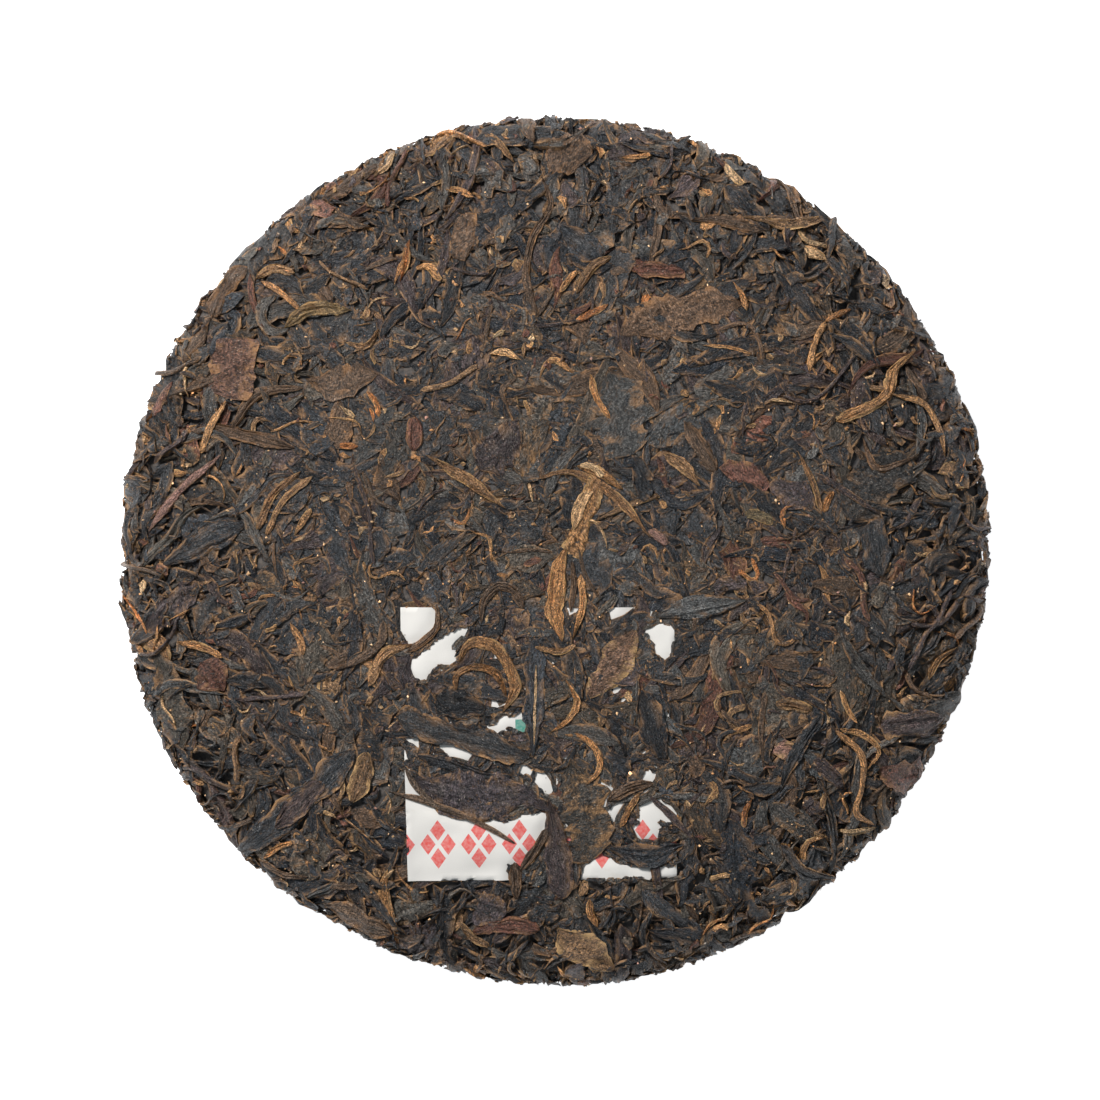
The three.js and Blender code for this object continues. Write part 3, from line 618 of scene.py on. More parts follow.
# Leaves that stand out in the photo, from the lowest to the topmost: the kind of leaf, its colour,
# its width in millimetres, and the pixels that it runs through.
SHOWN_LEAVES = (
    ("sheet", "bark", 10.0, (236, 337), (231, 400)),
    ("broad", "slate", 12.0, (608, 372), (632, 455)),
    ("broad", "umber", 9.0, (620, 336), (660, 318), (700, 308), (744, 302)),
    ("broad", "mottled", 11.0, (503, 462), (526, 442), (550, 422)),
    ("broad", "dark", 11.5, (845, 520), (872, 486), (899, 452)),
    ("broad", "plum", 8.0, (478, 470), (522, 434)),
    ("broad", "umber", 7.5, (304, 378), (338, 384), (378, 374)),
    ("broad", "umber", 9.0, (545, 159), (592, 158)),
    ("broad", "dark", 9.0, (560, 545), (612, 585)),
    ("strip", "dark", 7.0, (243, 846), (300, 802), (356, 748)),
    ("strip", "plum", 5.0, (276, 826), (324, 780)),
    ("strip", "dark", 6.5, (166, 566), (205, 540), (246, 524)),
    ("strip", "slate", 5.5, (246, 318), (282, 308), (332, 306)),
    ("strip", "dark", 6.0, (560, 228), (602, 262)),
    ("strip", "black", 5.0, (724, 186), (770, 232)),
    ("strip", "dark", 6.0, (880, 578), (868, 520)),
    ("strip", "slate", 5.0, (748, 600), (706, 606), (656, 617)),
    ("strip", "plum", 6.4, (882, 729), (912, 725), (942, 716)),
    ("broad", "russet", 8.0, (880, 770), (905, 775), (932, 780)),
    ("strip", "umber", 4.6, (249, 268), (230, 284), (212, 318)),
    ("strip", "dark", 4.0, (266, 282), (286, 280), (304, 296)),
    ("stem", "russet", 1.7, (252, 274), (254, 302), (264, 328)),
    ("strip", "bronze", 2.2, (256, 280), (272, 269), (295, 273)),
    ("strip", "slate", 2.6, (277, 294), (264, 306), (264, 322), (276, 332), (290, 326)),
    ("strip", "olive", 3.0, (284, 328), (302, 312), (326, 308), (352, 310)),
    ("stem", "golden", 1.3, (262, 282), (280, 292), (300, 310)),
    ("strip", "umber", 3.0, (206, 424), (234, 432), (295, 448)),
    ("stem", "rose", 1.9, (150, 533), (180, 492), (222, 454)),
    ("stem", "golden", 1.7, (201, 454), (213, 424), (228, 401)),
    ("stem", "russet", 1.9, (158, 418), (176, 382)),
    ("strip", "russet", 3.6, (415, 416), (413, 452)),
    ("strip", "amber", 1.7, (400, 282), (405, 262), (410, 240)),
    ("shred", "golden", 1.0, (394, 286), (398, 272), (404, 258)),
    ("broad", "umber", 5.6, (464, 214), (465, 262)),
    ("shred", "golden", 1.5, (445, 190), (460, 192), (474, 199)),
    ("strip", "bronze", 2.1, (477, 134), (498, 146), (515, 165)),
    ("strip", "umber", 1.7, (541, 178), (551, 206), (532, 240), (526, 276), (538, 318)),
    ("stem", "umber", 1.0, (556, 288), (546, 304), (538, 318)),
    ("strip", "golden", 1.6, (415, 268), (426, 266), (440, 282)),
    ("strip", "bronze", 2.4, (424, 454), (462, 476), (506, 509)),
    ("stem", "umber", 1.3, (362, 471), (376, 500), (402, 513)),
    ("strip", "bronze", 1.9, (301, 471), (272, 496), (257, 531)),
    ("strip", "bronze", 1.6, (312, 476), (284, 500), (266, 536)),
    ("shred", "golden", 1.4, (311, 508), (302, 522), (294, 536)),
    ("shred", "amber", 1.5, (338, 446), (358, 446)),
    ("shred", "amber", 1.4, (366, 391), (376, 402), (379, 417)),
    ("strip", "bronze", 1.6, (346, 342), (364, 346), (380, 328)),
    ("strip", "tan", 1.5, (489, 354), (503, 352), (521, 360)),
    ("strip", "russet", 3.6, (634, 270), (684, 271)),
    ("strip", "tan", 2.3, (802, 246), (826, 262)),
    ("stem", "golden", 1.5, (808, 373), (814, 346), (824, 322)),
    ("stem", "golden", 1.4, (824, 322), (838, 314), (852, 309)),
    ("strip", "golden", 2.8, (834, 422), (862, 410), (884, 396), (892, 372), (912, 352)),
    ("strip", "bronze", 2.6, (741, 218), (786, 226), (833, 221)),
    ("shred", "tan", 0.9, (766, 401), (780, 400), (794, 404)),
    ("stem", "plum", 1.4, (812, 473), (846, 494), (878, 516)),
    ("strip", "bronze", 1.5, (796, 451), (808, 476), (820, 512)),
    ("strip", "golden", 1.4, (830, 491), (826, 502), (822, 513)),
    ("broad", "russet", 5.4, (718, 468), (742, 474), (768, 482)),
    ("strip", "umber", 3.4, (684, 420), (698, 442), (716, 472)),
    ("strip", "bronze", 3.6, (664, 453), (682, 466), (700, 488)),
    ("strip", "golden", 1.5, (590, 374), (596, 398), (610, 419)),
    ("strip", "golden", 1.5, (558, 296), (568, 282), (577, 271)),
    ("chip", "olive", 3.6, (743, 512), (756, 515), (770, 526)),
    ("stem", "rose", 2.1, (648, 530), (668, 544)),
    ("strip", "golden", 1.3, (732, 281), (742, 294), (747, 311)),
    ("broad", "black", 4.4, (643, 458), (641, 502)),
    ("strip", "umber", 1.7, (861, 437), (872, 468), (914, 457)),
    ("shred", "golden", 1.2, (620, 162), (650, 160)),
    ("strip", "tan", 1.9, (722, 168), (740, 188)),
    ("strip", "bronze", 2.8, (576, 296), (592, 268), (612, 257)),
    ("shred", "golden", 0.9, (702, 345), (730, 347), (752, 354)),
    ("strip", "umber", 2.2, (905, 364), (912, 382), (921, 402)),
    ("stem", "golden", 1.6, (884, 394), (924, 408), (941, 458)),
    ("shred", "golden", 1.2, (822, 360), (838, 376)),
    ("strip", "dark", 6.0, (396, 716), (440, 733), (482, 743), (532, 757)),
    ("strip", "black", 3.0, (416, 755), (446, 764), (486, 777), (512, 776)),
    ("strip", "black", 7.0, (434, 700), (486, 708)),
    ("broad", "mottled", 10.6, (570, 757), (584, 806), (589, 862)),
    ("strip", "dark", 4.6, (534, 638), (533, 758)),
    ("broad", "copper", 7.0, (636, 630), (613, 664), (590, 698)),
    ("strip", "black", 6.0, (640, 690), (662, 760)),
    ("strip", "plum", 5.8, (548, 797), (556, 840), (562, 898)),
    ("strip", "dark", 5.4, (606, 846), (642, 853), (684, 842)),
    ("broad", "plum", 10.0, (412, 780), (442, 791), (485, 799), (525, 797), (554, 812)),
    ("stem", "umber", 1.4, (386, 790), (410, 797), (443, 808), (483, 825), (516, 844)),
    ("stem", "umber", 1.2, (405, 768), (416, 787), (430, 801), (464, 816)),
    ("strip", "umber", 1.6, (438, 604), (436, 628), (424, 641), (406, 652)),
    ("strip", "umber", 2.6, (606, 800), (632, 786), (654, 782)),
    ("strip", "golden", 1.5, (640, 790), (630, 806), (620, 826)),
    ("stem", "plum", 1.6, (648, 794), (672, 816), (694, 840)),
    ("strip", "umber", 2.8, (514, 862), (516, 900)),
    ("strip", "umber", 2.4, (548, 828), (536, 848), (520, 872)),
    ("strip", "golden", 2.8, (459, 662), (469, 645), (489, 644), (507, 662), (515, 686), (502, 714)),
    ("strip", "golden", 1.7, (456, 692), (457, 676), (471, 667), (491, 670), (500, 681), (506, 698)),
    ("strip", "bronze", 1.3, (534, 647), (561, 651), (576, 644)),
    ("strip", "golden", 1.5, (574, 732), (592, 744), (600, 764), (586, 784)),
    ("strip", "golden", 1.5, (549, 733), (568, 720), (577, 704), (565, 678)),
    ("strip", "umber", 2.2, (481, 624), (486, 596), (500, 586), (514, 592), (523, 610)),
    ("strip", "bronze", 2.1, (538, 479), (566, 472), (610, 492), (650, 538)),
    ("strip", "golden", 4.4, (567, 544), (557, 574), (555, 606), (562, 642)),
    ("strip", "umber", 1.4, (572, 560), (574, 584), (570, 612)),
    ("sheet", "golden", 4.6, (597, 483), (588, 506), (579, 530), (570, 556)),
    ("strip", "tan", 2.6, (586, 490), (578, 512), (574, 530)),
    ("strip", "golden", 1.6, (581, 574), (583, 604), (572, 640)),
    ("strip", "golden", 2.2, (576, 466), (596, 470), (624, 490)),
    ("strip", "tan", 1.8, (580, 464), (594, 468), (602, 478)),
    ("shred", "umber", 0.9, (578, 547), (586, 576), (602, 603)),
    ("shred", "umber", 0.8, (506, 553), (530, 550), (553, 552)),
    ("shred", "tan", 0.6, (536, 664), (534, 746)),
    ("strip", "bronze", 4.8, (370, 752), (354, 802)),
    ("broad", "russet", 7.6, (202, 662), (226, 690)),
    ("strip", "golden", 1.7, (178, 641), (202, 646), (225, 657)),
    ("stem", "golden", 1.7, (291, 622), (300, 636), (304, 655)),
    ("stem", "umber", 1.8, (384, 620), (382, 642), (368, 654), (336, 670)),
    ("strip", "bronze", 2.5, (414, 643), (388, 652), (369, 686)),
    ("strip", "bronze", 1.9, (460, 921), (472, 936), (490, 946)),
    ("strip", "umber", 5.0, (324, 901), (358, 914), (393, 932)),
    ("strip", "golden", 1.5, (266, 855), (280, 846), (296, 840)),
    ("strip", "umber", 1.9, (263, 856), (282, 870), (310, 876)),
    ("stem", "golden", 1.5, (836, 731), (862, 756), (862, 786), (855, 812), (873, 824)),
    ("strip", "golden", 1.4, (840, 729), (868, 738), (880, 752), (866, 771)),
    ("strip", "tan", 1.8, (838, 834), (876, 826)),
    ("strip", "amber", 1.5, (753, 798), (744, 812), (744, 828)),
    ("shred", "umber", 1.3, (767, 693), (762, 728), (763, 768)),
    ("strip", "bronze", 2.8, (776, 704), (796, 706), (814, 712)),
    ("chip", "rose", 4.6, (776, 746), (800, 754)),
    ("strip", "golden", 1.6, (928, 680), (936, 660), (955, 646)),
    ("shred", "golden", 1.1, (842, 691), (848, 708), (858, 724)),
    ("strip", "dark", 2.8, (779, 793), (798, 752), (824, 713)),
    ("strip", "slate", 2.6, (836, 622), (858, 664), (888, 698)),
    ("strip", "dark", 2.6, (779, 843), (800, 868), (833, 873)),
    ("shred", "tan", 1.3, (708, 877), (729, 872)),
    ("strip", "golden", 1.7, (590, 896), (590, 910), (598, 926)),
    ("broad", "bronze", 7.5, (556, 926), (584, 946), (616, 966)),
    ("strip", "russet", 3.6, (472, 932), (508, 922), (540, 928)),
    ("broad", "plum", 6.6, (474, 906), (506, 914)),
    ("chip", "tan", 1.5, (625, 692), (631, 702)),
)
DRAWN_STEP = 1.1
DRAWN_RINGS = (5, 26)
DRAWN_THICK = {"broad": 0.42, "sheet": 0.42, "strip": 0.7, "chip": 0.4, "shred": 0.5, "stem": 0.8}
DRAWN_FORM = {"across": 11, "ends": (0.06, 0.4), "slant": 0.4, "ragged": 0.24}


def drawn_leaf(pile, kind, name, width, points, rng):
    """A leaf that runs through the given pixels of the photo."""
    length = np.hypot(*np.diff(np.array(points, float), axis=0).T).sum() * PHOTO_MM_PER_PIXEL
    count = int(np.clip(length / DRAWN_STEP, *DRAWN_RINGS))
    thick = DRAWN_THICK[kind] * min(1, 0.35 + width / 5)
    form = dict(DRAWN_FORM, **FORMS[kind]) if kind == "sheet" else dict(FORMS[kind], **DRAWN_FORM)
    return Leaf(pile, kind, name, drawn_line(points, count), width, form, rng, thick)


# The pile of the face. Its bed is a little uneven, so that the lowest leaves don't lie level.
BED_LUMPS = 2.0
BED_LUMP_WIDTH = 3.0
face_rng = np.random.default_rng(SEED)
face_pile = Pile(FACE_ARC + 10, False, FACE_PRESS)
face_pile.height += BED_LUMPS * soften(face_rng.normal(0, 1, face_pile.height.shape), BED_LUMP_WIDTH)
face_leaves = strew(face_pile, [("broad", DARK_MIX, 260), ("strip", LEAF_MIX, 1500),
                                ("shred", SHRED_MIX, 400)], face_rng)

# The paper ticket goes on these leaves, drapes over the highest of them and holds them down.
TICKET_SPAN = 1.6
TICKET_DRAPE = 2.4
TICKET_GAP = 0.1
TICKET_THICK = 0.12
TICKET_CELLS = 90
ticket_outline = photo_outline(TICKET_CORNERS)
on_ticket = inside_outline(face_pile.u, face_pile.v, ticket_outline)
ticket_bed = soften(spread(face_pile.height, TICKET_SPAN), TICKET_DRAPE) + TICKET_GAP
face_pile.height = np.where(on_ticket, ticket_bed, face_pile.height)
ticket_height = face_pile.height.copy()
near_ticket = spread(on_ticket.astype(float), 2 * CELL) > 0
face_pile.lid = np.where(near_ticket, ticket_height - 2 * TICKET_THICK, np.inf)
for leaf in face_leaves:
    leaf.covered = True
paper_shows = np.zeros_like(on_ticket)
for outline in PAPER_SHOWS:
    paper_shows |= inside_outline(face_pile.u, face_pile.v, photo_outline(outline))
face_pile.bare = paper_shows
near_paper = spread(paper_shows.astype(float), 2 * CELL) > 0

face_leaves += strew(face_pile, [("broad", DARK_MIX, 200), ("strip", LEAF_MIX, 1350),
                                 ("chip", CHIP_MIX, 850), ("shred", SHRED_MIX, 450)], face_rng)

# Rounds of leaves that hide the rest of the paper: their kind and size, and how many are tried.
COVER_ROUNDS = (("strip", 0.9, 500), ("chip", 1.1, 500), ("chip", 0.7, 900), ("chip", 0.45, 900))
COVER_DEPTH = 0.02
COVER_LEAST_CELLS = 20


def cover_paper():
    """Leaves on the paper that still shows where it shouldn't."""
    leaves = []
    for kind, size, tries in COVER_ROUNDS:
        for _ in range(tries):
            seen = on_ticket & ~near_paper & (face_pile.height - ticket_height < COVER_DEPTH)
            places = np.argwhere(seen)
            if len(places) < COVER_LEAST_CELLS:
                return leaves
            i, j = places[face_rng.integers(len(places))]
            place = (face_pile.u[i, j], face_pile.v[i, j])
            leaf = random_leaf(face_pile, kind, DARK_MIX, face_rng, place, size)
            if leaf.fits():
                leaf.lay()
                leaves.append(leaf)
    return leaves


face_leaves += cover_paper()
for kind, name, width, *points in SHOWN_LEAVES:
    shown = drawn_leaf(face_pile, kind, name, width, points, face_rng)
    shown.lay(keep_clear=True)
    face_leaves.append(shown)
face_leaves += strew(face_pile, [("chip", CHIP_MIX, 480), ("shred", SHRED_MIX, 620),
                                 ("stem", STEM_MIX, 110), ("bit", BIT_MIX, 2200)], face_rng)
face_pile.settle()

back_rng = np.random.default_rng(SEED + 1)
back_pile = Pile(BACK_ARC - 4, True, BACK_PRESS)
back_leaves = strew(back_pile, [("broad", DARK_MIX, 420), ("strip", LEAF_MIX, 1100),
                                ("chip", CHIP_MIX, 500), ("shred", SHRED_MIX, 400)], back_rng)
back_pile.settle()

# Meshes and their attributes.
FLOOR_GAP = 0.03
FLOOR_SOFT = 0.12
SOFT_REACH = 30


def above_floor(points):
    """Presses what reaches down to the floor flat on it."""
    z = (points[:, 2] - FLOOR_GAP) / FLOOR_SOFT
    soft = np.log1p(np.exp(np.minimum(z, SOFT_REACH)))
    points[:, 2] = FLOOR_GAP + FLOOR_SOFT * np.where(z > SOFT_REACH, z, soft)
    return points


def mesh_object(name, points, triangles, looks=None):
    """An object of smooth triangles, with a tint, a grain and an edge for each vertex."""
    mesh = bpy.data.meshes.new(name)
    mesh.vertices.add(len(points))
    mesh.vertices.foreach_set("co", (points * MM).astype(np.float32).ravel())
    mesh.loops.add(3 * len(triangles))
    mesh.loops.foreach_set("vertex_index", triangles.astype(np.int32).ravel())
    mesh.polygons.add(len(triangles))
    mesh.polygons.foreach_set("loop_start", 3 * np.arange(len(triangles), dtype=np.int32))
    mesh.polygons.foreach_set("use_smooth", np.ones(len(triangles), bool))
    if looks is not None:
        tint, grain, edge = looks
        mesh.attributes.new("tint", "FLOAT_COLOR", "POINT").data.foreach_set("color", tint.ravel())
        mesh.attributes.new("grain", "FLOAT_VECTOR", "POINT").data.foreach_set("vector", grain.ravel())
        mesh.attributes.new("edge", "FLOAT", "POINT").data.foreach_set("value", edge)
    mesh.update()
    mesh.validate()
    made = bpy.data.objects.new(name, mesh)
    bpy.context.scene.collection.objects.link(made)
    return made


LEAF_CREASE = 58
PAPER_CREASE = 50


def leaf_object(name, leaves):
    """One mesh of many leaves, pressed and laid on the cake."""
    points, triangles, looks, start = [], [], [], 0
    for leaf in leaves:
        vertices = leaf.vertices()
        u, v = vertices[:, 0], vertices[:, 1]
        height = leaf.pile.press(u, v, vertices[:, 2]) + vertices[:, 3]
        points.append(on_skin(u, v, height, leaf.pile.back))
        triangles.append(ring_triangles(len(leaf.share), len(leaf.across) + 1) + start)
        looks.append(leaf.looks())
        start += len(vertices)
    looks = [np.concatenate(values) for values in zip(*looks)]
    made = mesh_object(name, above_floor(np.concatenate(points)), np.concatenate(triangles), looks)
    made.data.set_sharp_from_angle(angle=math.radians(LEAF_CREASE))
    return made


# The piece of the scene that a leaf of the face belongs to, by its colour or else by its kind.
EDGE_REACH = 78.0
PIECES = {**dict.fromkeys(GOLD, "golden_leaves"), **dict.fromkeys(BROWN, "brown_leaves"),
          "mottled": "mottled_leaves", "broad": "broad_leaves", "sheet": "broad_leaves",
          "strip": "rolled_leaves"}


def piece_of(leaf):
    if leaf.pile.back:
        return "back_leaves"
    if leaf.kind == "stem":
        return "stems"
    if leaf.name in PIECES:
        return PIECES[leaf.name]
    if leaf.kind == "strip" and math.hypot(leaf.middle_u[0], leaf.middle_v[0]) > EDGE_REACH:
        return "edge_leaves"
    return PIECES.get(leaf.kind, "broken_leaves")


class Graph:
    """A material's node tree, built by short calls."""

    def __init__(self, name):
        self.material = bpy.data.materials.new(name)
        self.material.use_nodes = True
        self.tree = self.material.node_tree
        self.shader = self.tree.nodes["Principled BSDF"]

    def node(self, kind, inputs=None, **settings):
        made = self.tree.nodes.new(kind)
        for key, value in settings.items():
            setattr(made, key, value)
        for key, value in (inputs or {}).items():
            self.feed(made, key, value)
        return made

    def feed(self, node, key, value):
        if isinstance(value, bpy.types.NodeSocket):
            self.tree.links.new(value, node.inputs[key])
        else:
            node.inputs[key].default_value = value

    def noise(self, vector, scale, detail=2.0, rough=0.5):
        inputs = {"Vector": vector, "Scale": scale, "Detail": detail, "Roughness": rough}
        return self.node("ShaderNodeTexNoise", inputs).outputs["Fac"]

    def stretched(self, vector, scale):
        made = self.node("ShaderNodeMapping", {"Vector": vector, "Scale": scale})
        return made.outputs["Vector"]

    def ramp(self, value, low, high, start=0.0, end=1.0):
        inputs = {"Value": value, "From Min": low, "From Max": high, "To Min": start, "To Max": end}
        return self.node("ShaderNodeMapRange", inputs).outputs["Result"]

    def math(self, operation, first, second=0.0):
        return self.node("ShaderNodeMath", {0: first, 1: second}, operation=operation).outputs[0]

    def away(self, value, centre):
        """How far a value is from a centre, on either side of it."""
        return self.math("ABSOLUTE", self.math("SUBTRACT", value, centre))

    def mix(self, factor, first, second, blend="MIX"):
        inputs = {0: factor, 6: first, 7: second}
        return self.node("ShaderNodeMix", inputs, data_type="RGBA", blend_type=blend).outputs[2]

    def bump(self, height, distance, normal=None):
        inputs = {"Height": height, "Distance": distance}
        if normal is not None:
            inputs["Normal"] = normal
        return self.node("ShaderNodeBump", inputs).outputs["Normal"]


def colour_value(colour):
    return (*linear(colour), 1.0)


# Patterns on a leaf: how close each runs along and across it, its detail and its roughness.
PATTERNS = {
    "fold": (0.16, 0.85, 2.0, 0.6),
    "fibre": (0.7, 3.8, 2.0, 0.65),
    "wrinkle": (0.75, 1.2, 4.0, 0.7),
    "blotch": (0.25, 0.45, 4.0, 0.7),
    "speck": (1.0, 2.6, 3.0, 0.75),
    "dot": (3.4, 3.4, 1.0, 0.5),
}
REGION_SCALE = 75.0
DUST = (204, 190, 172)


def leaf_material(name, mottle, fleck, edge_gold_and_highlight, roughness):
    """Dried leaf: folds and fibres along it, wrinkles, mottling, golden edges with painted highlight
    and specks of dust, with painted shade darkening the creases of the folds and wrinkles.

    The mottling, the flecks and the golden edges with painted highlight are each a colour and how much
    of it there is."""
    graph = Graph(name)
    tint = graph.node("ShaderNodeAttribute", attribute_name="tint").outputs["Color"]
    grain = graph.node("ShaderNodeAttribute", attribute_name="grain").outputs["Vector"]
    edge = graph.node("ShaderNodeAttribute", attribute_name="edge").outputs["Fac"]
    fold, fibre, wrinkle, blotch, speck, dot = (
        graph.noise(graph.stretched(grain, (along, across, 1.0)), 1.0, detail, rough)
        for along, across, detail, rough in PATTERNS.values()
    )
    place = graph.node("ShaderNodeTexCoord").outputs["Object"]
    region = graph.ramp(graph.noise(place, REGION_SCALE, 2.0), 0.38, 0.62, 0.3, 1.6)
    crease = graph.away(fold, 0.5)
    crack = graph.away(wrinkle, 0.5)
    # Painted shade: the colour darkens to about half along the creases of the folds and wrinkles,
    # which the bumps also sink. The fibres and dots add random tone.
    crease_shade_and_grain_tone = graph.math("MULTIPLY", graph.ramp(crease, 0.0, 0.06, 0.5, 1.08),
                       graph.ramp(fibre, 0.3, 0.7, 0.35, 1.75))
    crease_shade_and_grain_tone = graph.math("MULTIPLY", crease_shade_and_grain_tone, graph.ramp(crack, 0.0, 0.05, 0.45, 1.18))
    crease_shade_and_grain_tone = graph.math("MULTIPLY", crease_shade_and_grain_tone, graph.ramp(dot, 0.3, 0.7, 0.3, 1.85))
    base = graph.mix(graph.ramp(blotch, 0.52, 0.62, 0.0, mottle[1]), tint, colour_value(mottle[0]))
    base = graph.mix(1.0, base, crease_shade_and_grain_tone, "MULTIPLY")
    rare = 0.6 - 0.1 * fleck[1]
    flecked = graph.math("MULTIPLY", graph.ramp(speck, rare, rare + 0.08, 0.0, fleck[1]), region)
    base = graph.mix(flecked, base, colour_value(fleck[0]))
    # Lighter golden edges: partly the leaves' golden colour, partly a painted highlight along every
    # leaf edge.
    edge_gold_and_highlight_mask = graph.math("MULTIPLY", edge, graph.ramp(blotch, 0.47, 0.6, 0.0, edge_gold_and_highlight[1]))
    base = graph.mix(edge_gold_and_highlight_mask, base, colour_value(edge_gold_and_highlight[0]))
    base = graph.mix(graph.ramp(dot, 0.72, 0.75, 0.0, 0.8), base, colour_value(DUST))
    graph.feed(graph.shader, "Base Color", base)
    rough = graph.ramp(blotch, 0.35, 0.65, roughness - 0.1, roughness + 0.1)
    graph.feed(graph.shader, "Roughness", rough)
    graph.feed(graph.shader, "Specular IOR Level", 0.55)
    normal = graph.bump(crease, 0.0018)
    normal = graph.bump(crack, 0.0015, normal)
    normal = graph.bump(dot, 0.0003, normal)
    graph.feed(graph.shader, "Normal", normal)
    return graph.material


def dress(made, material, node=None):
    made.data.materials.append(material)
    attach(made, "root")
    if node:
        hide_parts(node)
    return made


# The materials' mottling, flecks and golden edges with painted highlight, each with how much of it
# there is, and roughness.
MATERIALS = {
    "broad_leaves": (((92, 84, 76), 0.4), ((184, 134, 86), 0.24), ((190, 142, 96), 0.85), 0.45),
    "rolled_leaves": (((88, 81, 75), 0.35), ((184, 134, 86), 0.22), ((196, 146, 98), 1.0), 0.38),
    "edge_leaves": (((88, 81, 75), 0.35), ((184, 136, 90), 0.26), ((204, 154, 104), 1.0), 0.36),
    "broken_leaves": (((96, 84, 73), 0.4), ((192, 140, 90), 0.32), ((200, 150, 100), 0.9), 0.46),
    "brown_leaves": (((66, 55, 50), 0.4), ((176, 124, 80), 0.3), ((196, 142, 92), 0.8), 0.46),
    "mottled_leaves": (((144, 108, 70), 0.75), ((186, 138, 88), 0.4), ((196, 144, 92), 0.7), 0.5),
    "golden_leaves": (((110, 78, 52), 0.55), ((62, 50, 42), 0.5), ((244, 194, 130), 0.9), 0.44),
    "stems": (((84, 66, 56), 0.5), ((176, 130, 90), 0.4), ((206, 158, 110), 0.6), 0.4),
    "back_leaves": (((92, 82, 74), 0.4), ((176, 130, 88), 0.3), ((190, 142, 96), 0.75), 0.5),
}
LEAST_SHOWN = 0.06
pieces = {name: [] for name in MATERIALS}
for leaf in face_leaves + back_leaves:
    if leaf.shows() > LEAST_SHOWN:
        pieces[piece_of(leaf)].append(leaf)
for name, leaves in pieces.items():
    node = "pressed_leaves" if name == "rolled_leaves" else None
    dress(leaf_object(name, leaves), leaf_material(name, *MATERIALS[name]), node)

# The core under the leaves, seen only in the gaps between them. It sinks under the skin by these
# depths at the three reaches.
CORE_SINK = (-0.25, 1.5, 0.4)
CORE_BACK_SINK = 0.2
CORE_LUMPS = 0.5
CORE_DARK = (66, 64, 64)
CORE_LIGHT = (104, 94, 86)
CORE_RINGS = 130
CORE_SECTORS = 260


def core_object():
    arc = np.linspace(0, section_arc[-1], CORE_RINGS + 2)[1:-1]
    turn = np.linspace(0, 2 * math.pi, CORE_SECTORS, endpoint=False)
    reach, angle = np.meshgrid(arc, turn, indexing="ij")
    rng = np.random.default_rng(SEED + 2)
    lumps = rng.uniform(-0.5, 0.5, reach.shape)
    sink = np.interp(reach, [FIRM_REACH, LOOSE_REACH, WALL_REACH], CORE_SINK)
    depth = np.where(reach > FACE_ARC, CORE_BACK_SINK, sink) + lumps * CORE_LUMPS
    points = on_skin(reach * np.cos(angle), reach * np.sin(angle), -depth, False)
    middle = np.zeros(1)
    top = on_skin(middle, middle, middle - CORE_SINK[0], False)
    navel = on_skin(middle, middle, middle - CORE_BACK_SINK, True)
    points = np.concatenate([points.reshape(-1, 3), top, navel])
    triangles = ring_triangles(CORE_RINGS, CORE_SECTORS)[:, ::-1]
    return mesh_object("pressed_core", above_floor(points), triangles)


def core_material():
    graph = Graph("pressed_core")
    place = graph.node("ShaderNodeTexCoord").outputs["Object"]
    lump = graph.noise(place, 900.0, 4.0, 0.6)
    shade = graph.ramp(lump, 0.35, 0.7, 0.0, 1.0)
    base = graph.mix(shade, colour_value(CORE_DARK), colour_value(CORE_LIGHT))
    graph.feed(graph.shader, "Base Color", base)
    graph.feed(graph.shader, "Roughness", 0.8)
    graph.feed(graph.shader, "Normal", graph.bump(lump, 0.0006))
    return graph.material


dress(core_object(), core_material())


def ticket_object():
    """Thin paper that follows what lies under it."""
    side = np.linspace(0, 1, TICKET_CELLS + 1)
    a, b = np.meshgrid(side, side, indexing="ij")
    (top_left, top_right, low_right, low_left) = ticket_outline
    edge_high = top_left + (top_right - top_left) * a[..., None]
    edge_low = low_left + (low_right - low_left) * a[..., None]
    uv = edge_low + (edge_high - edge_low) * b[..., None]
    u, v = uv[..., 0].ravel(), uv[..., 1].ravel()
    height = ticket_height[face_pile.cells(u, v)]
    pressed = face_pile.press(u, v, height)
    top = on_skin(u, v, pressed, False)
    bottom = on_skin(u, v, pressed - TICKET_THICK, False)
    count = TICKET_CELLS + 1
    at = np.arange(count * count).reshape(count, count)
    p, q, r, s = (x.ravel() for x in (at[:-1, :-1], at[1:, :-1], at[1:, 1:], at[:-1, 1:]))
    border = np.concatenate([at[:-1, 0], at[-1, :-1], at[:0:-1, -1], at[0, :0:-1]])
    following = np.roll(border, -1)
    low = count * count
    triangles = np.concatenate([
        np.stack([p, q, r], 1), np.stack([p, r, s], 1),
        np.stack([p, r, q], 1) + low, np.stack([p, s, r], 1) + low,
        np.stack([border, border + low, following + low], 1),
        np.stack([border, following + low, following], 1),
    ])
    grain = np.concatenate([np.stack([a.ravel(), b.ravel(), np.zeros(low)], 1)] * 2)
    looks = (np.ones((2 * low, 4)), grain, np.zeros(2 * low))
    made = mesh_object("paper_ticket", np.concatenate([top, bottom]), triangles, looks)
    made.data.set_sharp_from_angle(angle=math.radians(PAPER_CREASE))
    return made


# Print on the paper: a row of plain lozenges and a patch of flat colour. Places are shares of the
# ticket's width and height from its lower left corner.
LOZENGE_ROW = {"from": 0.04, "to": 0.95, "count": 6, "height": 0.135, "wide": 0.066, "high": 0.09,
               "gap": 0.14}
PATCH = {"x": 0.44, "y": 0.56, "half": 0.03}
PAPER = (232, 226, 218)
PAPER_STAIN = (206, 186, 160)
PAPER_FIBRE = (206, 202, 196)
PRINT_RED = (228, 82, 74)
PRINT_GREEN = (58, 150, 130)


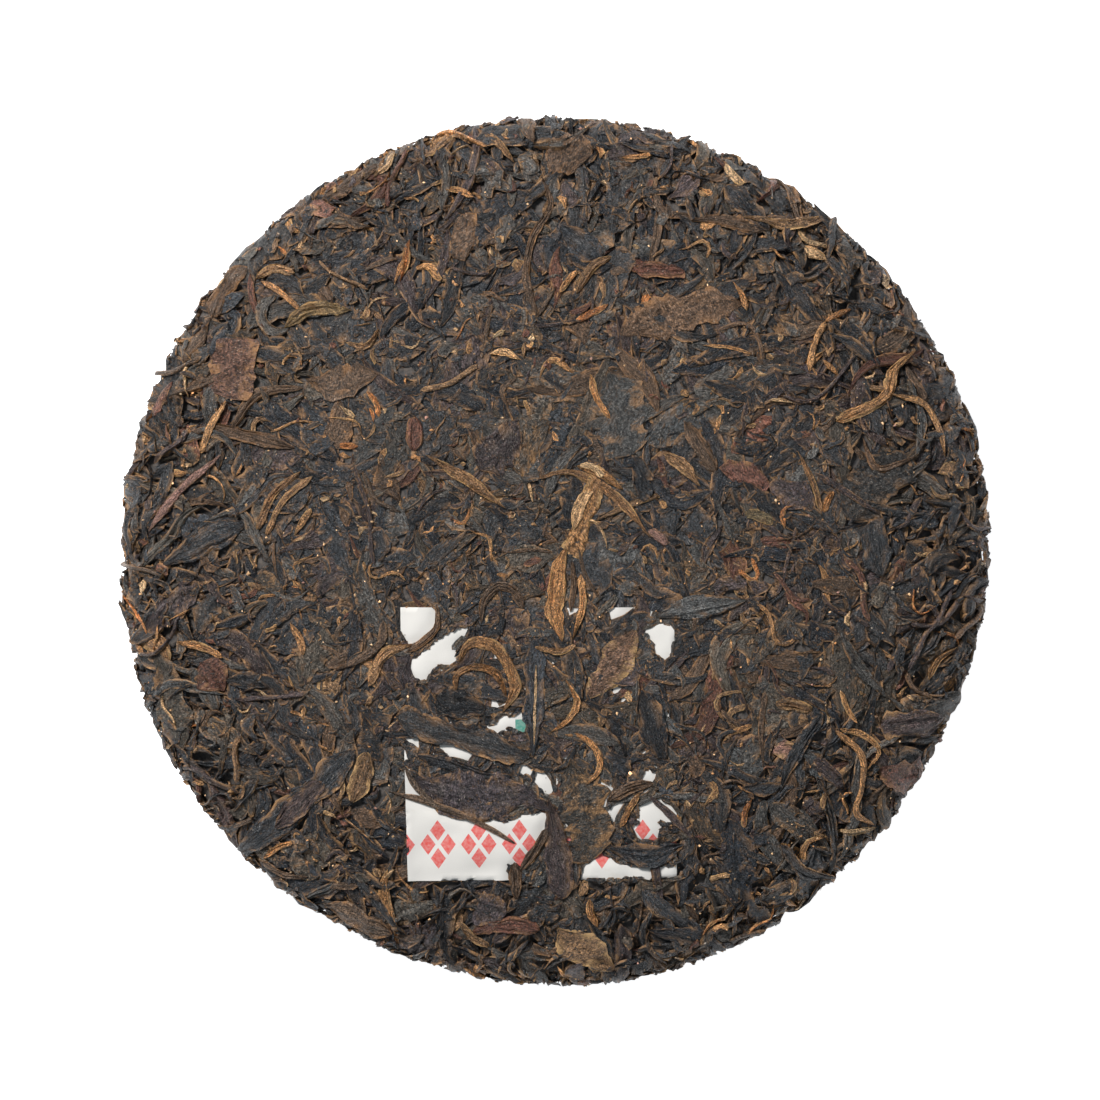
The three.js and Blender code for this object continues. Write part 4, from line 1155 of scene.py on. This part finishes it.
def ticket_material():
    graph = Graph("ticket_paper")
    place = graph.node("ShaderNodeAttribute", attribute_name="grain").outputs["Vector"]
    x, y, _z = graph.node("ShaderNodeSeparateXYZ", {"Vector": place}).outputs
    fibre = graph.noise(place, 260.0, 3.0, 0.6)
    stain = graph.noise(place, 11.0, 3.0, 0.6)
    ink = graph.noise(place, 90.0, 2.0)
    stained = graph.ramp(stain, 0.6, 0.78, 0.0, 0.35)
    base = graph.mix(stained, colour_value(PAPER), colour_value(PAPER_STAIN))
    base = graph.mix(graph.ramp(fibre, 0.3, 0.7, 0.0, 0.12), base, colour_value(PAPER_FIBRE))
    pitch = (LOZENGE_ROW["to"] - LOZENGE_ROW["from"]) / LOZENGE_ROW["count"]
    in_row = graph.math("MULTIPLY", graph.math("SUBTRACT", x, LOZENGE_ROW["from"]), 1 / pitch)
    across = graph.away(graph.math("FRACT", in_row), 0.5)
    up = graph.away(y, LOZENGE_ROW["height"])
    right = graph.math("MULTIPLY", across, pitch / LOZENGE_ROW["wide"])
    high = graph.math("MULTIPLY", up, 1 / LOZENGE_ROW["high"])
    total = graph.math("ADD", right, high)
    gap = graph.away(right, high)
    lozenge = graph.math("MULTIPLY", graph.math("LESS_THAN", total, 1.0),
                         graph.math("GREATER_THAN", gap, LOZENGE_ROW["gap"]))
    faded = graph.ramp(ink, 0.3, 0.7, 0.7, 1.0)
    base = graph.mix(graph.math("MULTIPLY", lozenge, faded), base, colour_value(PRINT_RED))
    off = graph.math("MAXIMUM", graph.away(x, PATCH["x"]), graph.away(y, PATCH["y"]))
    patch = graph.math("LESS_THAN", off, PATCH["half"])
    base = graph.mix(graph.math("MULTIPLY", patch, faded), base, colour_value(PRINT_GREEN))
    graph.feed(graph.shader, "Base Color", base)
    graph.feed(graph.shader, "Roughness", 0.85)
    graph.feed(graph.shader, "Normal", graph.bump(fibre, 0.00006))
    return graph.material


dress(ticket_object(), ticket_material(), "ticket")

# Crumbs of leaf and dust that lie on the cake, with heaps of more of them: centre and width in
# pixels of the photo, and number.
CRUMB_COUNT = 3200
CRUMB_SIZE = (0.11, 0.34)
CRUMB_MIX = {"umber": 0.3, "golden": 0.2, "tan": 0.35, "rose": 0.15}
CRUMB_LOOKS = (((120, 88, 56), 0.4), ((196, 150, 96), 0.3), ((196, 150, 96), 0.3), 0.7)
CRUMB_HEAPS = ((345, 860, 24, 60), (588, 968, 16, 90), (700, 900, 60, 90), (540, 560, 120, 160))
OCTAHEDRON = np.array([[0, 2, 4], [2, 1, 4], [1, 3, 4], [3, 0, 4],
                       [2, 0, 5], [1, 2, 5], [3, 1, 5], [0, 3, 5]])


def crumbs_object():
    rng = np.random.default_rng(SEED + 3)
    reach = face_pile.reach * np.sqrt(rng.random(CRUMB_COUNT))
    turn = rng.uniform(0, 2 * math.pi, CRUMB_COUNT)
    us, vs = reach * np.cos(turn), reach * np.sin(turn)
    for px, py, wide, count in CRUMB_HEAPS:
        pu, pv = from_photo(rng.normal(px, wide, count), rng.normal(py, wide / 2, count))
        us, vs = np.concatenate([us, pu]), np.concatenate([vs, pv])
    free = ~face_pile.bare[face_pile.cells(us, vs)]
    us, vs = us[free], vs[free]
    count = len(us)
    sizes = CRUMB_SIZE[0] + (CRUMB_SIZE[1] - CRUMB_SIZE[0]) * rng.random((count, 1)) ** 2.5
    axes = np.array([[1, 0, 0], [-1, 0, 0], [0, 1, 0], [0, -1, 0], [0, 0, 1], [0, 0, -1]], float)
    jitter = axes[None] + rng.uniform(-0.35, 0.35, (count, 6, 3))
    jitter *= rng.uniform(0.6, 1.3, (count, 1, 3)) * sizes[:, :, None]
    level = face_pile.press(us, vs, face_pile.at(us, vs))
    u, v = us[:, None] + jitter[..., 0], vs[:, None] + jitter[..., 1]
    height = level[:, None] + 0.5 * sizes + 0.7 * jitter[..., 2]
    points = on_skin(u.ravel(), v.ravel(), height.ravel(), False)
    triangles = (OCTAHEDRON[None] + 6 * np.arange(count)[:, None, None]).reshape(-1, 3)
    tint = np.ones((count, 6, 4))
    tint[..., :3] = np.array([tinted(pick(CRUMB_MIX, rng), rng) for _ in range(count)])[:, None]
    grain = np.repeat(rng.uniform(0, 1000, (count, 1, 3)), 6, axis=1)
    looks = (tint.reshape(-1, 4), grain.reshape(-1, 3), np.zeros(6 * count))
    made = mesh_object("crumbs", above_floor(points), triangles, looks)
    made.data.polygons.foreach_set("use_smooth", np.zeros(len(triangles), bool))
    return made


dress(crumbs_object(), leaf_material("crumb", *CRUMB_LOOKS))

# Floor, light and camera.
FLOOR_HALF = 6000.0
SKY = {"colour": (0.78, 0.9, 1, 1), "strength": 0.29}
KEY_LIGHT = {"energy": 15.2, "size": 0.28, "place": (-0.48, 0.6, 0.88)}


def floor_object():
    corners = [(-1, -1, 0), (1, -1, 0), (1, 1, 0), (-1, 1, 0)]
    made = mesh_object("floor", FLOOR_HALF * np.array(corners), np.array([[0, 1, 2], [0, 2, 3]]))
    graph = Graph("floor")
    graph.feed(graph.shader, "Base Color", (0.9, 0.9, 0.9, 1))
    graph.feed(graph.shader, "Roughness", 0.9)
    graph.feed(graph.shader, "Emission Color", (1, 1, 1, 1))
    graph.feed(graph.shader, "Emission Strength", 0.9)
    made.data.materials.append(graph.material)


def key_light():
    lamp = bpy.data.lights.new("key", "AREA")
    lamp.energy = KEY_LIGHT["energy"]
    lamp.size = KEY_LIGHT["size"]
    made = bpy.data.objects.new("key", lamp)
    made.location = KEY_LIGHT["place"]
    made.rotation_euler = (-made.location).to_track_quat("-Z", "Y").to_euler()
    bpy.context.scene.collection.objects.link(made)


floor_object()
world = bpy.data.worlds.new("studio")
world.use_nodes = True
sky = world.node_tree.nodes["Background"].inputs
sky["Color"].default_value = SKY["colour"]
sky["Strength"].default_value = SKY["strength"]
bpy.context.scene.world = world
key_light()

camera = bpy.data.objects.new("camera", bpy.data.cameras.new("camera"))
camera.data.lens = LENS
camera.data.sensor_width = SENSOR
camera_x = (PHOTO_SIDE / 2 - PHOTO_CENTRE[0]) * PHOTO_MM_PER_PIXEL
camera_y = (PHOTO_CENTRE[1] - PHOTO_SIDE / 2) * PHOTO_MM_PER_PIXEL
camera.location = (camera_x * MM, camera_y * MM, (CAMERA_DISTANCE + RIM_HEIGHT) * MM)
bpy.context.scene.collection.objects.link(camera)
bpy.context.scene.camera = camera
bpy.context.scene.view_settings.view_transform = "Standard"
